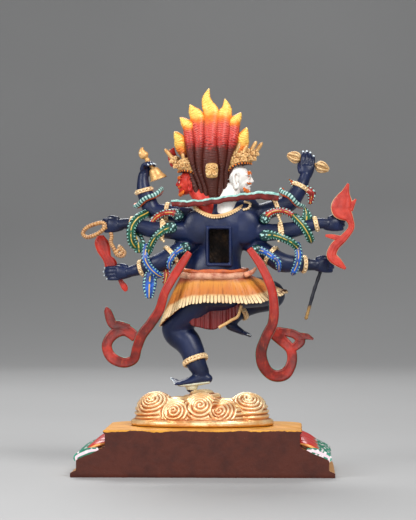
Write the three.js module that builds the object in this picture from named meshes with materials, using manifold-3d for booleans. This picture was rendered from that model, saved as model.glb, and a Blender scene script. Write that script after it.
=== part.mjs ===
// A painted wrathful deity with six arms and three heads, dancing on a gilt cloud base
// and a stepped lotus plinth. Millimetres, +Z up. The figure faces -Y, so the plinth's
// flat back, and the back of the figure, face +Y. Its own left hand side is +X.

import * as THREE from 'three';
import { mergeVertices } from 'three/addons/utils/BufferGeometryUtils.js';
import Module from 'manifold-3d';

const wasm = await Module();
wasm.setup();

// Air left between two pieces that touch.
const GAP = 0.3;

const X_AXIS = new THREE.Vector3(1, 0, 0);
const Y_AXIS = new THREE.Vector3(0, 1, 0);
const Z_AXIS = new THREE.Vector3(0, 0, 1);

// Plinth: half widths of its tiers, the heights where they change, and its depth.
const FOOT_HALF = 72.4;
const DADO_HALF = 69.1;
const TIER_HALF = 53.3;
const LIP_HALF = 54.3;
const BACK_Y = 40;
const TIER_FRONT_Y = -38;
const FOOT_TOP = 2.6;
const DADO_BOTTOM = 4;
const DADO_TOP = 9.5;
const TIER_BOTTOM = 17;
const LIP_BOTTOM = 24.4;
const PLINTH_TOP = 25.9;
const CORNER_RADIUS = 17;
const CORNER_STEPS = 4;
const SLOPE_HALF = 61;
const SLOPE_Z = 13;
const TIER_FILLET = 0.8;

// Lotus petals round the sides and front: how many, and the rows' tips and roots.
const PETALS = 15;
const PETAL_POINTS = 3;
const PETAL_SETBACK = 2;
const PETAL_ROWS = [
  { tipHalf: 64, tipZ: 14.4, rootHalf: 53.6, rootZ: 18.6, bottomZ: 11, phase: 0 },
  { tipHalf: 70.5, tipZ: 11, rootHalf: 58, rootZ: 15, bottomZ: 9, phase: 0.5 },
];
const PETAL_UNDERCUT = 3;
const PETAL_SWELL = { under: 2, tip: 3.6, crown: 1.4, root: 0.4 };
const PETAL_CROWN_RISE = 1.2;

// Cloud base.
const CLOUD_BOTTOM = PLINTH_TOP + GAP;
const FLANGE_TOP = 30;
const FLANGE_EDGE = 1.2;
const FLANGE = { x: 1.5, half: [40, 24], inset: 3.5 };
const CLOUD_LOBES = [
  { at: [27, 2, 33], radii: [12.4, 15, 11.8] },
  { at: [14, 7, 32.5], radii: [12, 16, 10] },
  { at: [1, 2, 33], radii: [15, 20, 13.2] },
  { at: [-13, 7, 32], radii: [12, 15, 9.2] },
  { at: [-23.6, 2, 32.5], radii: [12.4, 15, 12] },
  { at: [13, -9, 31.5], radii: [12, 13, 9] },
  { at: [-10, -9, 31.5], radii: [13, 13, 9] },
];
const CURL_STEPS = 7;
const CURL_TURNS = 1.3;
const CURL_START = 0.6;
const CURL_INNER = 0.22;
const CURL_HALF = [1.5, 0.8];
const CLOUD_CURLS = [
  { at: [18, 21, 35.5], radius: 5.4, way: 1 },
  { at: [2.6, 20.6, 38.6], radius: 6.2, way: -1 },
  { at: [-8.5, 20.4, 36], radius: 5.6, way: 1 },
  { at: [29, 15.6, 38], radius: 5, way: -1 },
  { at: [-25, 15.2, 38.2], radius: 5.4, way: 1 },
  { at: [2, -18.4, 36.5], radius: 6, way: 1 },
];

// Slivers thinner than this are cleaned from the seams of joined solids.
const SEAM = 0.2;

// Each arm runs from the shoulder through the elbow to the wrist: x, y, z and radius.
const ARMS = {
  upper_left: [[9.5, 0, 143, 5.3], [19.5, -1, 145, 4.8], [29, -2, 146, 5], [32.5, -3, 153, 4.7],
    [34.5, -3, 158, 4.1], [35, -4, 164, 3.2], [34.5, -4.5, 167, 3]],
  upper_right: [[-32, 0, 145, 5.3], [-40, -1, 148, 4.8], [-47, -2, 150.5, 5], [-52, -3, 157, 4.5],
    [-55, -4, 162.5, 3.4], [-56.6, -4.5, 167, 3.1]],
  middle_left: [[8, 2, 134, 6], [19.5, 5, 135, 4.8], [29.5, 6, 135.5, 4.7], [37, 6, 137.5, 3.9],
    [43.5, 6, 139, 3.1], [48, 6, 138.2, 3.2]],
  middle_right: [[-27, 2, 135, 6], [-37.5, 5, 134, 4.8], [-47, 6, 135, 4.7], [-56, 6, 137, 3.9],
    [-64, 6, 139, 3.1], [-69, 6, 138.6, 3.2]],
  lower_left: [[5, 0, 130, 5.5], [15, 2, 124, 5], [23.5, 4, 118, 5.3], [30.5, 3, 115.5, 4.7],
    [38.5, 1, 113, 3.4], [43.5, 1, 111.8, 3.1]],
  lower_right: [[-24, 0, 129, 5.5], [-34, 2, 123, 5], [-42.5, 4, 117.5, 5.5], [-50.5, 3, 116.5, 4.7],
    [-58.5, 1, 116, 3.4], [-63, 1, 115.8, 3.2]],
};

// Each hand: the middle of the palm, its radii, the way the fingers leave it, the way they
// spread side by side, the way they curl, and how long they are.
const HANDS = {
  upper_left: { palm: [34, -4.5, 168.5], radii: [3.4, 3, 4.2], out: [-0.1, 0, 1], spread: [-1, 0, 0.1],
    curl: [-0.5, 0.6, 0.3], length: 6 },
  upper_right: { palm: [-57, -4.5, 168.5], radii: [3.4, 3, 4.4], out: [-0.1, 0, 1], spread: [-1, 0, -0.2],
    curl: [0, -0.1, 0.4], length: 9 },
  middle_left: { palm: [50, 6, 138], radii: [4.6, 3.6, 4.4], out: [1, 0, 0], spread: [0, 0, -1],
    curl: [0.1, -0.9, 0], length: 6.5 },
  middle_right: { palm: [-71, 6, 138.5], radii: [4.6, 3.6, 4.4], out: [-1, 0, 0.1], spread: [0, 0, -1],
    curl: [-0.1, -0.9, 0], length: 6.5 },
  lower_left: { palm: [45.5, 1, 111.5], radii: [4.8, 3.2, 3.9], out: [1, 0, -0.05], spread: [0, 0, -1],
    curl: [0.4, -0.5, 0], length: 8.5 },
  lower_right: { palm: [-64.5, 1, 115.8], radii: [4.8, 3.4, 4.3], out: [-1, 0, -0.05], spread: [0, 0, -1],
    curl: [-0.1, -0.8, 0], length: 7 },
};

const FINGER_PITCH = 2;
const FINGER_BEND = 0.2;
const FINGER_TIP = 0.8;
const TOE_PITCH = 2;

// Legs: the standing one carries the figure, the other is raised across the body.
const STANDING_LEG = [[1, -1, 98, 10], [8.5, -4, 90.5, 9.3], [16, -7, 82.5, 8], [16.5, -7.5, 77.5, 7.4],
  [11, -6, 73.5, 7.7], [7.5, -4, 68, 6.8], [6, -3, 63.5, 6.4], [4.3, -2, 59.5, 5.4], [1.6, -1.4, 55, 4.4]];
const ANKLET = 0.85;
const STANDING_FOOT = [[-2.6, -1, 52, 3, 2.4], [2, -1, 52.2, 3.6, 3.6], [8, -1, 50.6, 4.4, 2.7],
  [14.5, -1, 49.2, 5, 1.7]];
const STUB = [[7.5, -1, 49.5, 3.2, 3.6], [7.5, -1, 45.9, 2.6, 3]];
const RAISED_LEG = [[-17, -3, 100.5, 9.5], [-29.5, -11, 100.5, 8.6], [-38, -19, 99.5, 6.8],
  [-36, -20, 96, 6.2], [-27.5, -17, 93, 5], [-19, -13.5, 88.5, 3.8], [-14.5, -11, 83.5, 3.2]];
const RAISED_FOOT = [[-12.4, -10, 82.4, 2.6, 2], [-14, -10.5, 81.6, 2.9, 2.8], [-18.5, -12, 79, 3.2, 2],
  [-21.5, -13, 77.3, 3.4, 1.4]];

// Torso and neck, as width across and depth: x, y, z, half width, half depth.
const TORSO = [[-5.5, -1, 97, 16, 11], [-5.5, -1.5, 108, 17.4, 12], [-5.5, -1.5, 114, 16.6, 12],
  [-8, -2, 123, 12.4, 11.5], [-9, -1, 131, 15.6, 11.5], [-10.2, 0, 139, 20, 11], [-11.5, 0, 144.5, 21, 9],
  [-9.5, 0, 149, 11, 7.5], [-7, -1, 155, 7, 6.5]];
const BELLY = { at: [-7, -10, 121], radii: [12, 7, 9] };

// The opening in the back, for what is sealed inside such a figure.
const WINDOW = { x: -8.1, z: 126.4, width: 11.2, height: 18.8, floorY: -3 };
const FRAME_WIDTH = 14;
const FRAME_HEIGHT = 22.2;
const FRAME_BACK_Y = 11.6;
const FRAME_DEPTH = 7.4;
const TORSO_CLEAR_Y = 30;

// Hair, as a balloon of ribbed locks: x, y, z, half width, half depth.
const HAIR = [[-3.9, 1, 153, 6.2, 6], [-4, 1, 160, 8.4, 8], [-4.5, 0.5, 168, 10.6, 10.5],
  [-5, 0, 175, 14, 12.5], [-6, 0, 181, 17.4, 13.5], [-5.9, 0, 185, 17.6, 13.5], [-5.3, 0, 191, 15.6, 12],
  [-5.4, 0, 196, 12.6, 9.5], [-5.6, 0, 200.5, 8, 6]];
const HAIR_LOCKS = 8;
const LOCK_GROOVE = 0.92;

// Flames at the edge of the hair, from the root to the tip: x, z, half width.
const FLAMES = [
  [[-3.4, 197, 4.6], [-1.4, 204, 3.9], [-0.4, 209, 2.8], [-2.3, 215, 0]],
  [[-10.7, 196, 4.2], [-11.9, 203.5, 2.8], [-11.2, 208.8, 0]],
  [[-14.4, 190, 4.2], [-17.2, 196.6, 2.6], [-20.2, 201, 0]],
  [[-19, 184, 3.8], [-21.6, 189, 2.3], [-23.6, 192, 0]],
  [[2.8, 193, 4.4], [5.6, 200.6, 2.6], [8.4, 205.5, 0]],
  [[7, 188, 4.2], [10.8, 194.4, 2.5], [14, 198.1, 0]],
  [[10, 181, 4], [14.2, 186, 2.5], [16.8, 189.7, 0]],
];

// Heads: the middle, the skull's size, the turn about Z in degrees, and the crown's leaf tips.
const HEADS = {
  middle: { at: [-6, -10, 163], size: 8.4, turn: 0, brow: [0, -5, 7.4],
    leaves: [[-15, -15, 178], [-11, -19, 180.5], [-6, -20, 183], [-1, -19, 180.5], [3, -15, 178]] },
  red: { at: [8.2, -2, 161.6], size: 6.9, turn: 82, brow: [2.5, 0, 7.8],
    leaves: [[22.6, -5, 180.4], [18.8, 0, 181.2], [10, 3.6, 176.5], [16.5, -8, 179]] },
  white: { at: [-18, 0, 163.6], size: 7.7, turn: -84, brow: [-3, 0, 8.5],
    leaves: [[-31.4, -3, 184.4], [-28, 1.5, 185], [-19.4, 4, 184.2], [-25, -7, 183]] },
};

// The skirt's hem, seen from above, turning from the figure's left through its back.
const HEM = [[25.5, -3, 82], [13.5, 9.5, 91.5], [2, 13.5, 94.5], [-14, 14.5, 94.5], [-30, 12.5, 94.5],
  [-41, 4, 98], [-46, -9, 100], [-40, -27, 99], [-22, -24, 94], [-4, -20, 91], [12, -20, 86],
  [23, -14, 81.5]];
const SKIRT_TOP = { at: [-5.5, -1.5, 111], half: [18.6, 13.4] };
const HEM_POINTS = 36;
const FRINGE_NOTCH = 1.3;

// The cloth that hangs between the legs: x, z down its lower edge.
const UNDERCLOTH = [[9, 98], [8.3, 83], [2.7, 80.8], [-4.6, 79.6], [-9.6, 81.8], [-15.2, 85.2],
  [-18.6, 87.4], [-20.5, 98]];
const UNDERCLOTH_BACK_Y = 4;
const UNDERCLOTH_DEPTH = 7;

// Half the length of a gold band along its limb.
const BAND_HALF = 1.3;

// Narrow scarves that wind over the arms: their path, half width and, at the start of the
// path, the half width of the knot.
const ARM_SCARVES = {
  red_left: { half: 1.9, knot: 3,
    path: [[13.5, 7.2, 143], [18, 5.5, 145], [23.5, 4.5, 144.5], [28, 5.5, 141.5], [30, 5.5, 137.5]] },
  green_left: { half: 2.3,
    path: [[33, 3, 144.5], [37.5, 8, 141.5], [40.5, 10, 136.5], [40.5, 9, 129.5], [38, 5, 125]] },
  green_left_inner: { half: 1.8, knot: 3,
    path: [[17, 10, 137], [22, 10.5, 135.5], [27, 10, 131.5], [30, 8.5, 126.5], [31.5, 7, 121.5]] },
  blue_left: { half: 2.1,
    path: [[32.5, 6, 126], [33, 8, 119.5], [30.5, 8, 114.5], [27, 6.5, 111], [24.5, 3, 109.5]] },
  blue_left_inner: { half: 1.7, knot: 2.6,
    path: [[9.5, 8, 126], [13.5, 8, 124.5], [17.5, 8, 121], [19.5, 7.5, 117], [19.5, 5, 113.5]] },
  red_right: { half: 1.8, knot: 3,
    path: [[-33, 7, 140.5], [-35.5, 6.5, 144], [-40, 4.5, 146], [-45.5, 4, 145.5], [-51, 4.5, 142]] },
  green_right: { half: 2.2,
    path: [[-50.5, 8.5, 142.5], [-55, 9.5, 137.5], [-58, 8.5, 132.5], [-59.5, 4.5, 128.5]] },
  green_right_inner: { half: 1.9, knot: 3,
    path: [[-32.5, 10, 132], [-37.5, 10, 132.5], [-43, 10, 131], [-49, 9, 128], [-52.5, 7.5, 124.5]] },
  blue_right: { half: 2.1,
    path: [[-51.5, 7, 127], [-52.5, 8, 121.5], [-51.5, 8, 116], [-49, 5, 110.5]] },
  blue_right_inner: { half: 1.8, knot: 2.8,
    path: [[-28, 8, 124.5], [-32.5, 7.5, 123.5], [-37, 8, 121], [-41, 8.5, 117.5], [-41.5, 5.5, 112.5]] },
};

// Loose flaps that hang from the scarves: x, y, z, half width, half thickness.
const FLAPS = [
  [[38.5, 4, 133, 3, 2], [37, 5.5, 127.5, 4, 1.8], [36.5, 6, 123.5, 2.6, 1.2]],
  [[30, 4, 113, 3, 2], [30.8, 4.5, 105, 4, 1.7], [31, 4.5, 98, 2.4, 1.2]],
  [[22.5, 3, 115, 2.2, 1.6], [21.3, 4, 110, 2.6, 1.6], [22.5, 4.5, 105.5, 1.2, 1]],
  [[-56, 5, 138, 3.6, 2], [-57, 5, 143, 3, 1.6], [-56, 5, 147.5, 0.8, 0.8]],
  [[-52.5, -3, 157, 3, 2], [-50, -5, 161, 2, 1.6], [-47.5, -6, 163.6, 0.7, 0.7]],
  [[-55, -3, 159, 2.4, 2], [-59.5, -3, 156, 2.6, 1.7], [-59, -3, 150.5, 1.4, 1]],
];

// Flared cuffs round two forearms: the middle, the way through, the radius.
const CUFFS = [
  { at: [31.6, -3, 153.4], along: [0.515, 0, 0.857], radius: 9.4 },
  { at: [-48.6, -3, 153], along: [-0.62, 0, 0.784], radius: 8.4 },
];
const CUFF_HALF = 2;

// Gold bands on the limbs: how far along each limb's line they sit, from 0 to 1.
const ARM_BANDS = {
  upper_left: [0.28, 0.77],
  upper_right: [0.24, 0.77],
  middle_left: [0.4, 0.83],
  middle_right: [0.38, 0.84],
  lower_left: [0.38, 0.8],
  lower_right: [0.36, 0.82],
};
const BAND_RISE = 0.9;

// Gold worn on the body: belt and collar as x, y, z, half sizes, and the clasp in the hair.
const BELT = [[-5.6, -1.5, 109.8, 19.4, 14], [-5.6, -1.5, 114, 18.6, 13.6]];
const COLLAR = [[4.6, 6.4, 147.6, 1.5], [-0.6, 8.6, 144.4, 1.5], [-6, 9.8, 143.2, 1.5],
  [-13.4, 8.8, 144.6, 1.5], [-20.4, 6.2, 148.8, 1.5]];
const CLASP = { at: [-4.5, 10, 168.4], radii: [3.7, 1.8, 3.7] };

// The stiff band behind the neck: x, y, z, half depth, half height.
const SHOULDER_SCARF = [[17.8, 8.5, 150, 1.3, 1.8], [10.7, 10.2, 149.8, 1.4, 1.8],
  [2.3, 11.6, 150.2, 1.4, 1.7], [-6, 12.2, 151.3, 1.4, 1.7], [-14.4, 12.2, 152.6, 1.4, 1.7],
  [-25.5, 11.6, 153.9, 1.5, 1.9], [-33.8, 10.4, 154.3, 1.5, 2.2], [-41, 8.6, 153.2, 1.3, 2.2]];

// Hanging sashes: the middle line down from the arm and round the loop, x, y, z, half width.
const LEFT_SASH = [[8.5, 9.4, 122.5, 1.8], [13, 11.5, 115.5, 2.4], [18, 13, 107.5, 2.6],
  [22, 13, 100, 2.6], [24.8, 12, 91, 2.7], [29.6, 11, 83.5, 3], [34.6, 10, 77, 3], [37.4, 9, 70, 2.8],
  [39.6, 8, 63.2, 2.8], [45.6, 7, 61.4, 3], [52.2, 6, 64.6, 3.1], [54.6, 6, 71, 3], [51, 6, 77, 3.2],
  [44.5, 6, 79.5, 3.4], [38.5, 7.4, 75.8, 3.2]];
const LEFT_TAIL = [[42.5, 6.2, 80.4, 2.6], [47, 6, 82, 2.6], [51.4, 6, 83, 2.8], [54, 6, 89.6, 2.2],
  [54.8, 6, 92, 0.8]];
const RIGHT_SASH = [[-25.2, 9.4, 124.5, 1.9], [-31, 11.5, 116.5, 2.4], [-35.2, 13, 108.4, 2.6],
  [-37.8, 13, 101, 2.6], [-38.8, 12.6, 92, 2.7], [-38, 12, 83.5, 3], [-34.2, 11, 75.6, 3],
  [-31.6, 10, 67, 3.2], [-33.4, 9, 59, 3.4], [-38.6, 8, 54.4, 3.4], [-45, 7, 55.4, 3.4],
  [-48.6, 6, 61.6, 3], [-48, 6, 68.6, 3], [-43, 6, 74, 3.2], [-36.5, 8, 79.5, 3.4]];
const RIGHT_TAIL = [[-37.5, 7.4, 79.4, 2.2], [-44.5, 6, 78.6, 2.4], [-50.5, 6, 77, 2.6],
  [-53.4, 6, 73.4, 2.8], [-49.6, 6, 69.6, 2.4]];
const RIGHT_TAIL_TIP = [[-52.6, 6, 76, 2.6], [-57, 6, 76, 1.8], [-60.4, 6, 74.6, 0.7]];
const SASH_HALF_DEPTH = 1.3;

// Held things, as stations of x, y, z and half sizes.
const BELL = [[35.2, -4.5, 182, 0.3], [35.4, -4.5, 179.4, 1.5, 2.4], [33.4, -4.5, 176.8, 1.8, 2.4],
  [32, -4.5, 174, 1.2], [29.6, -4.5, 170.4, 1.3], [29, -4.5, 169.2, 2.4, 2.8], [27.6, -4.5, 166.2, 3.6, 4],
  [26.4, -4.5, 164, 4.4, 5]];
const VAJRA = { middle: [-57.8, -7.6, 173.6], along: [-19, 0, -7], gripHalf: 6, grip: 1,
  prongs: [[4.6, 1], [6.4, 3.2, 3.4], [9.4, 3, 3.2], [12.2, 0.7]] };
const ROPE = 1.15;
const NOOSE_LOOP = [[68, 6, 133.4], [66.4, 6, 136.2], [62.6, 6, 138.2], [57.4, 6, 139.4], [55.4, 6, 137.6],
  [57.8, 6, 134.6], [62, 6, 132.2], [66, 6, 131.4]];
const NOOSE_TAIL = [[56.6, 6, 137.6], [53.4, 5.6, 136], [52, 6, 132], [52.4, 6, 128.6], [51, 6, 125.6],
  [48.8, 6, 121.4], [46.6, 6, 122.2], [46, 6, 124.6], [47.8, 6, 126.2]];
const KNIFE_Y = -2.6;
const KNIFE = [[58.6, KNIFE_Y, 132.4, 0.4, 1.6], [58.4, KNIFE_Y, 129, 1.2, 3.8], [57, KNIFE_Y, 124.4, 1.3, 3.8],
  [55.2, KNIFE_Y, 119.8, 1.3, 2.6], [53.6, KNIFE_Y, 117.4, 1.3, 3.4], [52.4, KNIFE_Y, 114.8, 1.3, 3.4],
  [50, KNIFE_Y, 111.6, 1, 1.3], [47.4, KNIFE_Y, 106.6, 1, 1.3], [45.4, KNIFE_Y, 103.4, 1, 1.8],
  [44.4, KNIFE_Y, 101.2, 0.6, 0.9]];
const BANNER_Y = 8.2;
const BANNER = [[-80, BANNER_Y, 161, 0.5, 0.7], [-78.6, BANNER_Y, 156.6, 1, 2.2],
  [-77.4, BANNER_Y, 152, 1.4, 5], [-76.6, BANNER_Y, 146.6, 1.5, 6], [-80.6, BANNER_Y, 141.4, 1.3, 2.4], [-81.6, BANNER_Y, 136.4, 1.2, 1.8],
  [-77.6, BANNER_Y, 131, 1.2, 2.2], [-72.6, BANNER_Y, 126.2, 1.3, 2.6], [-70.8, BANNER_Y, 121, 1.3, 2.8],
  [-74.4, BANNER_Y, 117.2, 1.2, 2.4], [-78.4, BANNER_Y, 113.8, 0.8, 0.8]];
const BANNER_SPURS = [
  [[-76, BANNER_Y, 130.4, 1, 1.6], [-71, BANNER_Y, 131.6, 0.9, 1.4], [-67.4, BANNER_Y, 132.2, 0.6, 0.7]],
  [[-80.4, BANNER_Y, 147, 1, 2.6], [-83, BANNER_Y, 150.6, 0.8, 1.2], [-84.4, BANNER_Y, 152.6, 0.5, 0.5]],
];
const ROD_Y = -2.6;
const ROD = [[-66.2, ROD_Y, 119.6, 1], [-64.6, ROD_Y, 112, 1], [-61.2, ROD_Y, 101.8, 1],
  [-58, ROD_Y, 90.6, 0.9], [-56.6, ROD_Y, 85.8, 1]];

// Paints.
const COLOURS = {
  plinth: 0x471e15,
  cloud_base: 0xe0bf86,
  figure: 0x1e2a54,
  shoulder_scarf: 0x6e1a16,
  left_sash: 0xa82a1c,
  right_sash: 0xa82a1c,
  bell: 0xc79a5e,
  vajra: 0xd9b27a,
  noose: 0x8a5a34,
  knife: 0xc2301f,
  flame_banner: 0xc8402e,
  rod: 0x4a3826,
};

// A section for sweeps: points round a unit circle.
function round(sides) {
  const points = [];
  for (let k = 0; k < sides; k++) {
    const turn = (2 * Math.PI * (k + 0.5)) / sides;
    points.push([Math.cos(turn), Math.sin(turn)]);
  }
  return points;
}

// A section for sweeps: a ridge that is narrower than its pitch.
const FINGER_SECTION = [[1.1, 0], [-0.7, 0.9], [-0.7, -0.9]];

// A section for sweeps: a flat strap with square edges.
const STRAP = [[1, 1], [-1, 1], [-1, -1], [1, -1]];

// A closed solid from a geometry, once its shared vertices are merged.
function solid(geometry) {
  const bare = geometry.clone();
  bare.deleteAttribute('normal');
  bare.deleteAttribute('uv');
  const merged = mergeVertices(bare, 1e-3);
  const triVerts = [];
  for (let i = 0; i < merged.index.count; i += 3) {
    const [a, b, c] = [0, 1, 2].map((k) => merged.index.getX(i + k));
    if (a !== b && b !== c && c !== a) triVerts.push(a, b, c);
  }
  return new wasm.Manifold(new wasm.Mesh({
    numProp: 3,
    vertProperties: new Float32Array(merged.attributes.position.array),
    triVerts: new Uint32Array(triVerts),
  }));
}

// A closed solid stretched over rings of points. Its ends are fans to a middle point that
// stands out by `tips`, unless the last ring joins the first.
function skin(rings, { tips = [0, 0], loop = false } = {}) {
  const count = rings[0].length;
  const points = rings.flat();
  const faces = [];
  const spans = loop ? rings.length : rings.length - 1;
  for (let i = 0; i < spans; i++) {
    const next = (i + 1) % rings.length;
    for (let k = 0; k < count; k++) {
      const turn = (k + 1) % count;
      faces.push(i * count + k, i * count + turn, next * count + turn);
      faces.push(i * count + k, next * count + turn, next * count + k);
    }
  }
  if (!loop) {
    closeEnd(points, faces, rings, 0, 1, tips[0]);
    closeEnd(points, faces, rings, rings.length - 1, rings.length - 2, tips[1]);
  }
  const geometry = new THREE.BufferGeometry().setFromPoints(points);
  geometry.setIndex(faces);
  return solid(geometry);
}

// Closes one end of a skin with a fan whose middle stands out by `tip`.
function closeEnd(points, faces, rings, end, inner, tip) {
  const count = rings[end].length;
  const outward = middle(rings[end]).sub(middle(rings[inner])).normalize();
  const apex = points.length;
  points.push(middle(rings[end]).addScaledVector(outward, tip));
  for (let k = 0; k < count; k++) {
    const a = end * count + k;
    const b = end * count + ((k + 1) % count);
    if (end === 0) faces.push(apex, b, a);
    else faces.push(apex, a, b);
  }
}

// The middle of a ring of points.
function middle(ring) {
  const sum = new THREE.Vector3();
  for (const point of ring) sum.add(point);
  return sum.divideScalar(ring.length);
}

// A closed solid swept through stations of x, y, z and two half sizes. The first half size
// lies along `side`, the second across it. With one half size the section is as wide as deep.
function sweep(stations, { section = round(6), side = Y_AXIS, blunt = 0.45, loop = false } = {}) {
  const count = stations.length;
  const at = stations.map(([x, y, z]) => new THREE.Vector3(x, y, z));
  const rings = stations.map(([, , , first, second = first], i) => {
    const before = at[loop ? (i + count - 1) % count : Math.max(i - 1, 0)];
    const after = at[loop ? (i + 1) % count : Math.min(i + 1, count - 1)];
    const along = after.clone().sub(before).normalize();
    const u = side.clone().addScaledVector(along, -side.dot(along)).normalize();
    const v = along.clone().cross(u);
    const point = ([a, b]) => at[i].clone().addScaledVector(u, a * first).addScaledVector(v, b * second);
    return section.map(point);
  });
  const reach = (station) => blunt * Math.min(station[3], station[4] ?? station[3]);
  return skin(rings, { tips: [reach(stations[0]), reach(stations[count - 1])], loop });
}

// Stations spaced along a smooth curve through the given ones.
function smooth(stations, count) {
  const at = (i) => stations[THREE.MathUtils.clamp(i, 0, stations.length - 1)];
  const bend = (a, b, c, d, t) => t * (2 * a - 5 * b + 4 * c - d + t * (3 * (b - c) + d - a));
  const blend = (a, b, c, d, t) => b + 0.5 * t * (c - a + bend(a, b, c, d, t));
  const curve = [];
  for (let n = 0; n < count; n++) {
    const along = (n / (count - 1)) * (stations.length - 1);
    const i = Math.min(Math.floor(along), stations.length - 2);
    const near = [at(i - 1), at(i), at(i + 1), at(i + 2)];
    curve.push(near[0].map((_, k) => blend(...near.map((station) => station[k]), along - i)));
  }
  return curve;
}

// The same stations with both half sizes grown by `extra`.
function grown(stations, extra) {
  return stations.map(([x, y, z, first, second = first]) => [x, y, z, first + extra, second + extra]);
}

// An ellipsoid.
function ball(at, radii, wide = 8, high = 6) {
  const geometry = new THREE.SphereGeometry(1, wide, high);
  geometry.rotateX(Math.PI / 2);
  geometry.scale(...radii);
  geometry.translate(...at);
  return solid(geometry);
}

// The stations of a limb with a raised band at some share of its length.
function banded(stations, shares, rise = BAND_RISE) {
  const curve = stations.map(([x, y, z]) => new THREE.Vector3(x, y, z));
  const reach = [0];
  for (let i = 1; i < curve.length; i++) reach.push(reach[i - 1] + curve[i].distanceTo(curve[i - 1]));
  const total = reach[reach.length - 1];
  const station = (d, extra) => {
    const i = Math.min(reach.findIndex((r, k) => k > 0 && r >= d), reach.length - 1);
    const t = (d - reach[i - 1]) / (reach[i] - reach[i - 1]);
    const between = stations[i].map((value, k) => THREE.MathUtils.lerp(stations[i - 1][k], value, t));
    return between.map((value, k) => (k > 2 ? value + extra : value));
  };
  const raised = shares.flatMap((share) => [[-1, 0], [0, rise], [1, 0]]
    .map(([side, extra]) => [share * total + side * BAND_HALF, extra]));
  const clear = (d) => shares.every((share) => Math.abs(d - share * total) > 1.6 * BAND_HALF);
  const plain = reach.filter(clear).map((d) => [d, 0]);
  const stops = [...plain, ...raised].sort((a, b) => a[0] - b[0]);
  return stops.map(([d, extra]) => station(Math.max(d, 1e-6), extra));
}

// A unit vector.
function toward(direction) {
  return new THREE.Vector3(...direction).normalize();
}

// A point moved from another by an amount along each of several directions.
function shifted(at, ...moves) {
  const point = new THREE.Vector3(...at);
  for (const [direction, amount] of moves) point.addScaledVector(direction, amount);
  return point.toArray();
}

function union(solids) {
  return wasm.Manifold.union(solids);
}

// The biggest of the bodies that a cut leaves.
function largest(body) {
  return body.decompose().sort((a, b) => b.volume() - a.volume())[0];
}

// The plan of one plinth tier: a straight back, and rounded corners at the front.
function tierPlan(halfWidth, z, backY = BACK_Y) {
  const frontY = TIER_FRONT_Y - (halfWidth - TIER_HALF);
  const plan = [new THREE.Vector3(halfWidth, backY, z), new THREE.Vector3(-halfWidth, backY, z)];
  for (const [side, start] of [[-1, Math.PI], [1, 1.5 * Math.PI]]) {
    for (let k = 0; k <= CORNER_STEPS; k++) {
      const turn = start + (k / CORNER_STEPS) * (Math.PI / 2);
      plan.push(new THREE.Vector3(
        side * (halfWidth - CORNER_RADIUS) + CORNER_RADIUS * Math.cos(turn),
        frontY + CORNER_RADIUS + CORNER_RADIUS * Math.sin(turn),
        z,
      ));
    }
  }
  return plan;
}

// A row of lotus petals round the sides and the front of the plinth: a skin whose rings
// swell once for each petal. The tips stand out most on its middle ring.
function petalRow({ tipHalf, tipZ, rootHalf, rootZ, bottomZ, phase }) {
  const ring = (half, z, swell) => {
    const plan = tierPlan(half, z, BACK_Y - PETAL_SETBACK);
    const path = new THREE.CurvePath();
    for (let k = 1; k < plan.length; k++) {
      path.add(new THREE.LineCurve3(plan[k], plan[(k + 1) % plan.length]));
    }
    const points = [];
    for (let k = 0; k <= PETALS * PETAL_POINTS; k++) {
      const u = k / (PETALS * PETAL_POINTS);
      const outward = path.getTangentAt(u).cross(Z_AXIS);
      const crest = Math.abs(Math.sin(Math.PI * (u * PETALS + phase)));
      const inset = u < 0.01 || u > 0.99 ? 0 : (crest - 1) * swell;
      points.push(path.getPointAt(u).addScaledVector(outward, inset));
    }
    return points;
  };
  return skin([
    ring(tipHalf - PETAL_UNDERCUT, bottomZ, PETAL_SWELL.under),
    ring(tipHalf, tipZ, PETAL_SWELL.tip),
    ring((tipHalf + rootHalf) / 2, (tipZ + rootZ) / 2 + PETAL_CROWN_RISE, PETAL_SWELL.crown),
    ring(rootHalf, rootZ, PETAL_SWELL.root),
  ]);
}

function plinth() {
  const profile = [
    [FOOT_HALF, 0],
    [FOOT_HALF, FOOT_TOP],
    [DADO_HALF, DADO_BOTTOM],
    [DADO_HALF, DADO_TOP],
    [SLOPE_HALF, SLOPE_Z],
    [TIER_HALF + TIER_FILLET, TIER_BOTTOM - TIER_FILLET],
    [TIER_HALF, TIER_BOTTOM],
    [TIER_HALF, LIP_BOTTOM - TIER_FILLET],
    [LIP_HALF, LIP_BOTTOM],
    [LIP_HALF, PLINTH_TOP],
  ];
  const block = skin(profile.map(([half, z]) => tierPlan(half, z)));
  return union([block, ...PETAL_ROWS.map(petalRow)]).simplify(SEAM);
}

// A curl of cloud: a raised line that winds inward on the lobe it lies on.
function curl([x, y, z], radius, direction) {
  const stations = [];
  for (let k = 0; k <= CURL_STEPS; k++) {
    const turn = direction * (CURL_START + (k / CURL_STEPS) * CURL_TURNS * 2 * Math.PI);
    const reach = THREE.MathUtils.lerp(radius, radius * CURL_INNER, k / CURL_STEPS);
    stations.push([x + reach * Math.cos(turn), y, z + reach * Math.sin(turn), ...CURL_HALF]);
  }
  return sweep(stations, { section: round(4) });
}

function cloudBase(footprint) {
  const flange = sweep([
    [FLANGE.x, 0, CLOUD_BOTTOM, ...FLANGE.half],
    [FLANGE.x, 0, FLANGE_TOP - FLANGE_EDGE, ...FLANGE.half],
    [FLANGE.x, 0, FLANGE_TOP, ...FLANGE.half.map((half) => half - FLANGE.inset)],
  ], { section: round(16), side: X_AXIS, blunt: 0 });
  const lobes = CLOUD_LOBES.map(({ at, radii }) => ball(at, radii, 8, 5));
  const curls = CLOUD_CURLS.map(({ at, radius, way }) => curl(at, radius, way));
  const mound = union([flange, ...lobes, ...curls]).trimByPlane([0, 0, 1], CLOUD_BOTTOM);
  return largest(mound.subtract(footprint).simplify(SEAM));
}

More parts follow.
